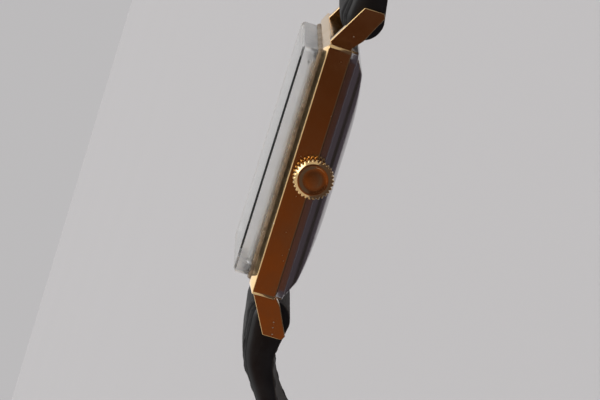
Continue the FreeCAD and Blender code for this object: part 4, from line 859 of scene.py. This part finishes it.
def strap_half(name, runs, total, end, node, rolled, tongue):
    """Closed skin through cross-sections: lining below, painted edges, padded top with stitch grooves."""
    look = bpy.context.scene.watch_strap
    lead = -look.roll_radius * np.sin(np.radians(np.linspace(86, 6, 14)))
    middle = np.arange(0.0, total, 0.8 * mm)
    if tongue:
        blunt = 1.1
        radius = blunt * look.end_width / 2
        start = math.acos(1 / blunt)
        middle = middle[middle < total - radius * (1 - math.sin(start)) - 0.3 * mm]
        tail = total - radius * (1 - np.sin(np.linspace(start, math.radians(87), 14)))
    else:
        middle = middle[middle < total - end_roll - 0.2 * mm]
        tail = total + end_roll * np.sin(np.radians(np.linspace(-80, 86, 24)))
    d = np.concatenate([lead, middle, tail])[:, None]
    width = strap_half_width(d, total)
    if tongue:
        inside = np.clip(radius ** 2 - np.clip(d - (total - radius), 0, None) ** 2, 1e-9, None)
        width = np.minimum(width, np.sqrt(inside))
    half, padding = strap_depth(d, total, rolled)
    across = np.array([0.0, 0.2, 0.4, 0.55, 0.66, 0.74, 0.78, 0.80, 0.82, 0.84, 0.86, 0.89, 0.925, 0.955])
    top_u = np.concatenate([-across[:0:-1], across])[None, :]
    top_x, top_n = top_u * width, strap_top(top_u, half, padding, width)
    edge_n = strap_top(np.array([[1.0]]), half, padding, width)
    slim = np.minimum(0.3 * mm, half * 0.2)
    fall = np.linspace(0.08, 0.92, 5)[None, :]
    side_x = width * 0.985 + 0.015 * width * np.sin(np.pi * fall)
    side_n = edge_n + (slim - half - edge_n) * fall
    low_u = np.array([0.975, 0.95, 0.8, 0.4, 0.0])[None, :]
    low_x, low_n = low_u * width, slim * np.clip((low_u - 0.94) / 0.06, 0, 1) ** 2 * 1.2 - half
    xs = np.concatenate([top_x, side_x, low_x, -low_x[:, -2::-1], -side_x[:, ::-1]], axis=1)
    ns = np.concatenate([top_n, side_n, low_n, low_n[:, -2::-1], side_n[:, ::-1]], axis=1)
    rings = strap_points(stations(runs, d), xs, ns, end=end)
    rows, columns = rings.shape[:2]
    top_count, side_count = top_u.size, fall.size
    kinds = np.zeros(columns, dtype=int)
    kinds[top_count - 1:] = 1
    kinds[top_count + side_count:columns - side_count - 1] = 2
    bands = np.concatenate([np.tile(kinds, rows - 1), [1, 1]])
    return add_piece(name, [skin(rings)], [finish_of("black_leather"), edge_paint(), lining_leather()],
                     node, [node], bands, sharp=50.0, flats=False)


def stitch_shells(runs, total, end, rolled, first, last):
    """Short threads with round ends, laid in the grooves on the top face and along the lining."""
    look = bpy.context.scene.watch_strap
    steps = np.linspace(0, 2 * math.pi, 6, endpoint=False)[None, :]
    reach = np.array([-1.0, -0.85, -0.3, 0.3, 0.85, 1.0])[:, None] * look.stitch_length / 2
    girth = np.array([0.2, 0.8, 1.0, 1.0, 0.8, 0.2])[:, None] * 0.16 * mm
    sink = 0.10 * mm * (reach / reach.max()) ** 2
    shells = []
    for side in (-1, 1):
        for face in (1, -1):
            for mark in np.arange(first, last, look.stitch_pitch):
                d = mark + reach + 0 * steps
                width = strap_half_width(d, total)
                half, padding = strap_depth(d, total, rolled)
                surface = strap_top(np.full(d.shape, stitch_place), half, padding, width)
                level = surface + 0.05 * mm - sink if face > 0 else -half - 0.02 * mm + sink
                x = side * width * stitch_place + girth * np.cos(steps)
                n = level + girth * 0.8 * np.sin(steps)
                shells.append(skin(strap_points(stations(runs, d), x, n, end=end)))
    return shells


def rod_between(start, direction, radius, reach, steps=24):
    """Round cutter centred on a point, along a direction."""
    direction = np.array(direction) / np.linalg.norm(direction)
    u = np.array([1.0, 0.0, 0.0])
    v = np.cross(direction, u)
    angle = np.linspace(0, 2 * math.pi, steps, endpoint=False)[:, None]
    ring = radius * (np.cos(angle) * u + np.sin(angle) * v)
    return skin(np.stack([start + ring - direction * reach, start + ring + direction * reach]))


def build_strap_long():
    """Holed half on the 6 o'clock side: rounded tongue, seven punched holes, stitched edges."""
    holes, first_hole, hole_pitch, hole_radius = 7, 20.0, 6.0, 0.9 * mm
    piece = strap_half("strap_holed_half", long_runs, long_total, -1, "strap_long", False, True)
    cutters = []
    for i in range(holes):
        out, z, phi = station(long_runs, long_total - (first_hole + hole_pitch * i) * mm)
        normal = (0.0, -math.sin(phi), math.cos(phi))
        cutters.append(rod_between(np.array([0.0, -out, z]), normal, hole_radius, cut_reach))
    pierced(piece, cutters)
    shells = stitch_shells(long_runs, long_total, -1, False, first_stitch, long_total - 7.5 * mm)
    add_piece("stitching_holed_half", shells, [thread()], "strap_long", flats=False)


def build_strap_short():
    """Buckle half on the 12 o'clock side, rolled round the buckle's bar, with a slot for the tang."""
    slot_half, slot_length, slot_shift, slot_corner = 1.25 * mm, 5.2 * mm, 0.4 * mm, 0.4 * mm
    piece = strap_half("strap_buckle_half", short_runs, short_total, 1, "strap_short", True, False)
    out, z = buckle_bar_place()
    slot = outline(2 * slot_half, slot_length, slot_corner, 3) + (0, out - slot_shift)
    pierced(piece, [skin(np.stack([np.insert(slot, 2, level, axis=1)
                                   for level in (z - cut_reach, z + cut_reach)]))])
    shells = stitch_shells(short_runs, short_total, 1, True, first_stitch, short_total - 5.0 * mm)
    add_piece("stitching_buckle_half", shells, [thread()], "strap_short", flats=False)


def build_keepers():
    """Two loops: a rounded leather strip's section carried round a rounded rectangle."""
    look = bpy.context.scene.watch_strap
    gap, room, rim_round, inner_corner = 0.35 * mm, 1.8 * mm, 0.25 * mm, 0.3 * mm
    side_start = sum(run for run, turn in short_runs[:4])
    wall, span = look.keeper_wall, look.keeper_width
    low, high = -look.thickness / 2 - gap, look.thickness / 2 + room + gap
    for name, node, body, mark in (
            ("keeper_sliding", "free_keeper", "free_keeper", side_start + 9.0 * mm),
            ("keeper_sewn", "fixed_keeper", "strap_short", short_total - 13.0 * mm)):
        width = 2 * strap_half_width(mark, short_total)
        place = station(short_runs, mark)
        rings = []
        for offset, along in outline(wall, span, rim_round, 4) + (wall / 2, 0):
            ring = outline(width + 2 * gap + 2 * offset, high - low + 2 * offset, inner_corner + offset, 6)
            rings.append(strap_points(place, ring[:, 0], ring[:, 1] + (low + high) / 2, along))
        add_piece(name, [skin(np.stack(rings), loop=True)], [finish_of("black_leather")], body,
                  [node], sharp=50.0)
        shells = keeper_stitches(width, high + wall, span / 2 - 0.7 * mm, place)
        add_piece("stitching_" + name, shells, [thread()], body, flats=False)


def keeper_stitches(width, level, rim, place):
    """Stitches along both rims of a keeper's outer face."""
    steps = np.linspace(0, 2 * math.pi, 6, endpoint=False)[None, :]
    reach = np.array([-0.6, -0.5, 0.0, 0.5, 0.6])[:, None] * mm
    girth = np.array([0.2, 0.8, 1.0, 0.8, 0.2])[:, None] * 0.12 * mm
    shells = []
    for side in (-1, 1):
        for mark in np.arange(-width / 2 + 1.2 * mm, width / 2 - 1.0 * mm, 1.7 * mm):
            along = side * rim + girth * np.cos(steps)
            n = level + girth * 0.7 * np.sin(steps)
            shells.append(skin(strap_points(place, mark + reach + 0 * steps, n, along)))
    return shells


# Buckle

def swept(path, side, half_side, half_up, steps=20, power=2.4):
    """Superellipse section carried along a path in a level plane, round at both ends."""
    angle = np.linspace(0, 2 * math.pi, steps, endpoint=False)
    c, s = np.cos(angle), np.sin(angle)
    u = np.sign(c) * np.abs(c) ** (2 / power)
    v = np.sign(s) * np.abs(s) ** (2 / power)
    return (path[:, None, :] + side[:, None, :] * (half_side[:, None] * u[None, :])[..., None]
            + np.array([0, 0, 1.0]) * (half_up[:, None] * v[None, :])[..., None])


def buckle_bar_place():
    """Y and Z of the buckle bar's axis."""
    return station(short_runs, short_total)[:2]


def build_buckle_frame():
    """Rounded U: arms from the bar, round corners and a thicker front bar notched for the tang."""
    arm_half, arm_up, turn_r = 0.9 * mm, 1.0 * mm, 1.5 * mm
    frame_run, past_bar, swell_run = 8.2 * mm, 1.05 * mm, 2.5 * mm
    notch_half, notch_ramp, notch_drop = 1.25 * mm, 0.2 * mm, 0.1 * mm
    bar_at, bar_z = buckle_bar_place()
    front_y = bar_at - frame_run
    centre_x = buckle_high[0] - arm_half
    reach = bar_at + past_bar
    arm = np.linspace(reach, front_y + turn_r, 22)
    bend = np.linspace(0, math.pi / 2, 10)[1:-1]
    front = np.linspace(centre_x - turn_r, 0, 26)
    right = np.concatenate([
        np.column_stack([np.full(len(arm), centre_x), arm]),
        np.column_stack([centre_x - turn_r + turn_r * np.cos(bend),
                         front_y + turn_r - turn_r * np.sin(bend)]),
        np.column_stack([front, np.full(len(front), front_y)])])
    plan = np.concatenate([right, right[-2::-1] * (-1, 1)])
    toward = np.clip((bar_at - plan[:, 1]) / (bar_at - front_y), 0, 1)
    path = np.column_stack([plan, bar_z + (buckle_front_z - bar_z) * toward])
    tangent = np.gradient(plan, axis=0)
    tangent /= np.linalg.norm(tangent, axis=1)[:, None]
    side = np.column_stack([tangent[:, 1], -tangent[:, 0], np.zeros(len(plan))])
    at_front = np.clip(1 - (plan[:, 1] - front_y) / swell_run, 0, 1) ** 1.5
    ends = np.clip((reach - plan[:, 1]) / arm_half, 0.0, 1.0)
    dome = np.sqrt(np.clip(1 - (1 - ends) ** 2, 0.003, 1))
    half_side, half_up = arm_half + 0.25 * mm * at_front, arm_up + 0.13 * mm * at_front
    rings = swept(path, side, half_side * dome, half_up * dome)
    near = np.clip((notch_half - np.abs(rings[..., 0])) / notch_ramp, 0, 1)
    lifted = np.maximum(rings[..., 2], buckle_front_z - notch_drop)
    on_front = np.abs(rings[..., 1] - front_y) < 2 * mm
    rings[..., 2] = np.where(on_front, rings[..., 2] * (1 - near) + lifted * near, rings[..., 2])
    rings[..., 2] = np.maximum(rings[..., 2], floor_z)
    add_piece("pin_buckle", [skin(rings)], [finish_of("gold_buckle")], "buckle", ["buckle_frame"],
              sharp=45.0)


def build_buckle_tang():
    """Prong with an eye rolled round the bar, tapering to a rounded tip under the front bar."""
    root_radius, taper, length_, stations_count = 0.67, 0.30, 8.6 * mm, 30
    root_y, root_z = 0.6 * mm, 0.3 * mm
    bar_at, bar_z = buckle_bar_place()
    tip, low = bar_at - length_, buckle_front_z - root_radius * mm
    t = np.linspace(0, 1, stations_count)
    y = bar_at - root_y + (tip - bar_at + root_y) * t
    z = bar_z - root_z + (low - bar_z + root_z) * t ** 0.8
    path = np.column_stack([np.zeros(stations_count), y, z])
    side = np.tile([1.0, 0.0, 0.0], (stations_count, 1))
    radius = (root_radius - taper * t) * mm
    dome = np.sqrt(np.clip(1 - np.clip((t - 0.95) / 0.05, 0, 1) ** 2, 0.01, 1))
    prong = swept(path, side, radius * dome, radius * dome * 0.95, 16, 2.0)
    half, soft, bore, girth = 1.0 * mm, 0.15 * mm, 0.7 * mm, 1.15 * mm
    profile = [(-half, bore), (-half, girth - soft), (-half + soft, girth),
               (half - soft, girth), (half, girth - soft), (half, bore)]
    eye = turned(profile, np.array([0, bar_at, bar_z]), "X", 40)
    add_piece("buckle_prong", [skin(eye, loop=True), skin(prong)], [finish_of("gold_buckle")], "tang",
              ["buckle_tang"], sharp=45.0)


# Dial and hands

def edge_reach(a, b, angle):
    """Distance from the centre to a rectangle's edge in a clock direction."""
    dx, dy = abs(math.sin(angle)), abs(math.cos(angle))
    return min(a / max(dx, 1e-6), b / max(dy, 1e-6))


def bar_shell(inner, outer, half, angle, z, rise, ridge):
    """Flat or roof-shaped bar lying outwards along a clock direction."""
    base = np.array([(inner, -half), (outer, -half), (outer, half), (inner, half)])
    ridge_points = np.array([(inner + half, -half * ridge), (outer - half, -half * ridge),
                             (outer - half, half * ridge), (inner + half, half * ridge)])
    rings = []
    for points, level in ((base, z), (base, z + rise * 0.55), (ridge_points, z + rise)):
        x = points[:, 0] * math.sin(angle) + points[:, 1] * math.cos(angle)
        y = points[:, 0] * math.cos(angle) - points[:, 1] * math.sin(angle)
        rings.append(np.column_stack([x, y, np.full(4, level)]))
    return skin(np.stack(rings))


def build_markers():
    """Twelve roof-shaped batons along the edge of the dial, longer and wider at the quarters."""
    a, b = window_half()
    margin, baton, half_baton, rise, ridge = 0.7 * mm, 1.8 * mm, 0.225 * mm, 0.2 * mm, 0.12
    shells = []
    for hour in range(12):
        angle = math.radians(30 * hour)
        quarter = hour % 3 == 0
        size = baton * (1.3 if quarter else 1.0)
        half = half_baton * (1.5 if quarter else 1.0)
        reach = edge_reach(a - margin, b - margin, angle)
        shells.append(bar_shell(reach - size, reach, half, angle, dial_high[2], rise, ridge))
    add_piece("baton_markers", shells, [finish_of("gold_hands")], "case", ["hour_markers"],
              sharp=15.0)


def build_dial_print():
    """Printed minute track: two fine rectangular lines and sixty ticks between them."""
    a, b = window_half()
    z, ink, line, track_corner = dial_high[2], 0.012 * mm, 0.09 * mm, 0.1 * mm
    outer_inset, inner_inset, tick_half = 3.1 * mm, 3.65 * mm, 0.045 * mm
    shells = []
    for inset in (outer_inset, inner_inset):
        w, l = 2 * (a - inset), 2 * (b - inset)
        levels = [(w, l, track_corner, z), (w, l, track_corner, z + ink),
                  (w - line, l - line, track_corner, z + ink), (w - line, l - line, track_corner, z)]
        shells.append(skin(stacked(levels, 3), loop=True))
    for minute in range(60):
        angle = math.radians(6 * minute)
        outer = edge_reach(a - outer_inset, b - outer_inset, angle)
        inner = edge_reach(a - inner_inset, b - inner_inset, angle)
        half = 2 * tick_half if minute % 5 == 0 else tick_half
        shells.append(bar_shell(inner, outer, half, angle, z, ink, 1.0))
    ink_paint = once(plain, "track ink", (0.03, 0.025, 0.02), (0.05, 0.04, 0.03), 900.0, 0.5)
    add_piece("minute_track", shells, [ink_paint], "case", sharp=20.0)


def build_hands():
    """Tapered hands with a ridge along the middle and a domed eye, set to ten past ten."""
    shown = 10.0 + 10.0 / 60.0
    thick, hole, cap_radius = 0.14 * mm, 0.3 * mm, 0.32 * mm
    for name, node, reach, width, eye, turn in (
            ("ridged_hour_hand", "hour_hand", 5.6 * mm, 0.7 * mm, 0.95 * mm, shown / 12.0),
            ("ridged_minute_hand", "minute_hand", 8.0 * mm, 0.6 * mm, 0.75 * mm, shown % 1.0)):
        z = corner(node, False)[2]
        tail = eye * 1.6
        shape = np.array([(-width * 0.3, -tail), (width * 0.3, -tail), (width / 2, reach * 0.25),
                          (width * 0.18, reach), (-width * 0.18, reach), (-width / 2, reach * 0.25)])
        angle = -2 * math.pi * turn
        spin = np.array([[math.cos(angle), math.sin(angle)], [-math.sin(angle), math.cos(angle)]])
        rings = [np.insert((shape * (factor, 1.0)) @ spin, 2, level, axis=1)
                 for factor, level in ((1.0, z), (1.0, z + thick * 0.4), (0.08, z + thick))]
        profile = [(z, hole), (z, eye), (z + thick * 0.8, eye), (z + thick, eye * 0.9), (z + thick, hole)]
        disc = turned(profile, np.zeros(3), "Z", 40)
        shells = [skin(np.stack(rings)), skin(disc, loop=True)]
        if node == "minute_hand":
            cap = [(z, cap_radius), (z + 0.2 * mm, cap_radius), (z + 0.28 * mm, 0.2 * mm),
                   (z + 0.29 * mm, 0.02 * mm)]
            shells.append(skin(turned(cap, np.zeros(3), "Z", 32)))
        add_piece(name, shells, [finish_of("gold_hands")], node, [node], sharp=20.0)


# Carried-over nodes

def paint_carried_nodes():
    """Gives every node that stays its slot's procedural material."""
    for row in frame["record"]["subparts"]:
        node = frame["nodes"][row["node"]]
        if node.hide_render:
            continue
        node.data.materials.clear()
        node.data.materials.append(finish_of(row["material_slot"]))


# Studio

def build_floor(pale):
    """Pale disc just under the lowest piece, made of rings that widen outwards."""
    spokes, clear = 96, 0.0001
    angle = np.linspace(0, 2 * math.pi, spokes, endpoint=False)
    radii = (0.01, 0.2, 0.5, 1.0, 2.0, 4.0, 8.0)
    rings = np.stack([np.column_stack([r * np.cos(angle), r * np.sin(angle),
                                       np.full(spokes, floor_z - clear)]) for r in radii])
    index = np.arange(len(radii) * spokes).reshape(len(radii), spokes)
    quads = np.stack([index[:-1], np.roll(index[:-1], -1, 1), np.roll(index[1:], -1, 1), index[1:]], -1)
    mesh = bpy.data.meshes.new("floor")
    faces = quads.reshape(-1, 4).tolist() + [index[0].tolist()]
    mesh.from_pydata(rings.reshape(-1, 3).tolist(), [], faces)
    floor = put("floor", mesh)
    material, n, shader = new_material("pale floor")
    place = n.add("ShaderNodeTexCoord").outputs["Object"]
    cloud = n.add("ShaderNodeTexNoise", {"Vector": place, "Scale": 1.5, "Detail": 2.0}).outputs[0]
    n.feed(shader.inputs["Base Color"], n.mix(cloud, (*pale, 1), (*shaded(pale, 1.03), 1)))
    shader.inputs["Roughness"].default_value = 0.9
    mesh.materials.append(material)


def build_card():
    """Glowing card that only glossy rays see, painting reflections: a warm upright card and a cool sheet
    over the floor.
    """
    x0, x1, y0, y1 = -0.035, 0.6, -0.6, 0.5
    low, high = floor_z + 0.001, 0.45
    # warm, deep and cool are glowing colours for painted reflections: brown in the gold flanks,
    # purple-grey in the steel back.
    warm, deep, cool = (0.165, 0.056, 0.019, 1), (0.052, 0.022, 0.012, 1), (0.085, 0.070, 0.080, 1)
    mesh = bpy.data.meshes.new("painted_reflection_card")
    corners = [(x, y, z) for y in (y0, y1) for x, z in ((x0, low), (x1, low), (x1, high))]
    mesh.from_pydata(corners, [], [(0, 1, 4, 3), (1, 2, 5, 4)])
    card = put("painted_reflection_card", mesh)
    material, n, shader = new_material("painted reflection card")
    n.tree.nodes.remove(shader)
    place = n.add("ShaderNodeTexCoord").outputs["Object"]
    split = n.add("ShaderNodeSeparateXYZ", {0: place}).outputs
    shade = n.mix(n.span(split[1], -0.145, -0.075), warm, deep)
    shade = n.mix(n.span(split[0], 0.45, 0.59, 1.0, 0.0), shade, cool)
    # The card glows with this colour though it is no lamp: painted reflection.
    glow = n.add("ShaderNodeEmission", {"Color": shade, "Strength": 1.0})
    n.feed(n.tree.nodes["Material Output"].inputs[0], glow.outputs[0])
    mesh.materials.append(material)
    for kind in ("camera", "diffuse", "shadow", "transmission", "volume_scatter"):
        setattr(card, "visible_" + kind, False)


def build_lights(look, pale):
    """Two broad suns, and a world that lights evenly and shows the pale colour to camera and glass."""
    for name, strength, spread, source in (("key_light", look.key_strength, 40.0, (0.25, 0.25, 0.75)),
                                           ("fill_light", look.fill_strength, 60.0, (-0.55, -0.35, 0.45))):
        lamp = bpy.data.lights.new(name, "SUN")
        lamp.energy = strength
        lamp.angle = math.radians(spread)
        put(name, lamp).rotation_euler = (-Vector(source)).to_track_quat("-Z", "Y").to_euler()
    world = bpy.data.worlds.new("studio")
    bpy.context.scene.world = world
    world.use_nodes = True
    n = Nodes(world.node_tree)
    path = n.add("ShaderNodeLightPath")
    seen = n.math("MAXIMUM", path.outputs["Is Camera Ray"], path.outputs["Is Transmission Ray"])
    ground = world.node_tree.nodes["Background"]
    n.feed(ground.inputs["Color"], n.mix(seen, (0.58, 0.57, 0.57, 1), (*pale, 1)))
    ground.inputs["Strength"].default_value = 1.0


def build_camera(look):
    """Camera at the photograph's viewing angle, on a 36 mm sensor."""
    data = bpy.data.cameras.new("camera")
    data.lens = look.lens
    data.sensor_width = 36.0
    data.clip_start, data.clip_end = 0.01, 50.0
    camera = put("camera", data)
    camera.location = (0.49133, 0.08676, 0.03313)
    camera.rotation_euler = [math.radians(turn) for turn in (78.1272, 72.8586, 89.2424)]
    bpy.context.scene.camera = camera


def build_stage():
    """Pale floor, glowing card for painted reflections, lamps, world and camera."""
    look = bpy.context.scene.watch_studio
    pale = tuple(look.pale)
    build_floor(pale)
    build_card()
    build_lights(look, pale)
    build_camera(look)
    bpy.context.scene.view_settings.view_transform = "Standard"


# Operators

class WatchOperator:
    """Shared by the operators: registered undo, run from the sidebar"""
    bl_options = {"REGISTER", "UNDO"}


class WATCH_OT_case(WatchOperator, bpy.types.Operator):
    """Build the gold case frame and its four lugs"""
    bl_idname = "watch.case"
    bl_label = "Case and lugs"

    def execute(self, context):
        build_case_middle()
        build_lugs()
        return {"FINISHED"}


class WATCH_OT_back(WatchOperator, bpy.types.Operator):
    """Build the steel snap back with its bulge"""
    bl_idname = "watch.back"
    bl_label = "Case back"

    def execute(self, context):
        build_case_back()
        return {"FINISHED"}


class WATCH_OT_crystal(WatchOperator, bpy.types.Operator):
    """Build the crystal slab and the bead of cement round it"""
    bl_idname = "watch.crystal"
    bl_label = "Crystal and seal"

    def execute(self, context):
        build_crystal()
        build_crystal_seal()
        return {"FINISHED"}


class WATCH_OT_crown(WatchOperator, bpy.types.Operator):
    """Build the fluted crown"""
    bl_idname = "watch.crown"
    bl_label = "Crown"

    def execute(self, context):
        build_crown()
        return {"FINISHED"}


class WATCH_OT_strap(WatchOperator, bpy.types.Operator):
    """Build both strap halves, their stitching and the keepers"""
    bl_idname = "watch.strap"
    bl_label = "Strap"

    def execute(self, context):
        build_strap_long()
        build_strap_short()
        build_keepers()
        return {"FINISHED"}


class WATCH_OT_buckle(WatchOperator, bpy.types.Operator):
    """Build the pin buckle and its prong"""
    bl_idname = "watch.buckle"
    bl_label = "Buckle"

    def execute(self, context):
        build_buckle_frame()
        build_buckle_tang()
        return {"FINISHED"}


class WATCH_OT_dial(WatchOperator, bpy.types.Operator):
    """Build the hour markers, the printed track and the hands"""
    bl_idname = "watch.dial"
    bl_label = "Dial and hands"

    def execute(self, context):
        build_markers()
        build_dial_print()
        build_hands()
        return {"FINISHED"}


class WATCH_OT_carried(WatchOperator, bpy.types.Operator):
    """Give the carried-over pieces their finishes"""
    bl_idname = "watch.carried"
    bl_label = "Movement finishes"

    def execute(self, context):
        paint_carried_nodes()
        return {"FINISHED"}


class WATCH_OT_stage(WatchOperator, bpy.types.Operator):
    """Build the floor, the lamps and the camera"""
    bl_idname = "watch.stage"
    bl_label = "Studio"

    def execute(self, context):
        build_stage()
        return {"FINISHED"}


operators = (WATCH_OT_case, WATCH_OT_back, WATCH_OT_crystal, WATCH_OT_crown, WATCH_OT_strap,
             WATCH_OT_buckle, WATCH_OT_dial, WATCH_OT_carried, WATCH_OT_stage)
settings = {"watch_case": WatchCaseSettings, "watch_strap": WatchStrapSettings,
            "watch_finish": WatchFinishSettings, "watch_studio": WatchStudioSettings}


class WATCH_PT_sidebar(bpy.types.Panel):
    """Lists the watch's operators and settings"""
    bl_idname = "WATCH_PT_sidebar"
    bl_label = "Rectangular Wristwatch"
    bl_space_type = "VIEW_3D"
    bl_region_type = "UI"
    bl_category = "Watch"

    def draw(self, context):
        for operator in operators:
            self.layout.operator(operator.bl_idname)
        for name, group in settings.items():
            box = self.layout.box()
            box.label(text=group.__doc__)
            for prop in group.__annotations__:
                box.prop(getattr(context.scene, name), prop)


def register():
    for group in settings.values():
        bpy.utils.register_class(group)
    for name, group in settings.items():
        setattr(bpy.types.Scene, name, PointerProperty(type=group))
    for item in operators + (WATCH_PT_sidebar,):
        bpy.utils.register_class(item)


def unregister():
    for item in (WATCH_PT_sidebar,) + operators[::-1]:
        bpy.utils.unregister_class(item)
    for name, group in settings.items():
        delattr(bpy.types.Scene, name)
        bpy.utils.unregister_class(group)


def main():
    register()
    bpy.ops.watch.case()
    bpy.ops.watch.back()
    bpy.ops.watch.crystal()
    bpy.ops.watch.crown()
    bpy.ops.watch.strap()
    bpy.ops.watch.buckle()
    bpy.ops.watch.dial()
    bpy.ops.watch.carried()
    bpy.ops.watch.stage()


if __name__ == "__main__":
    main()
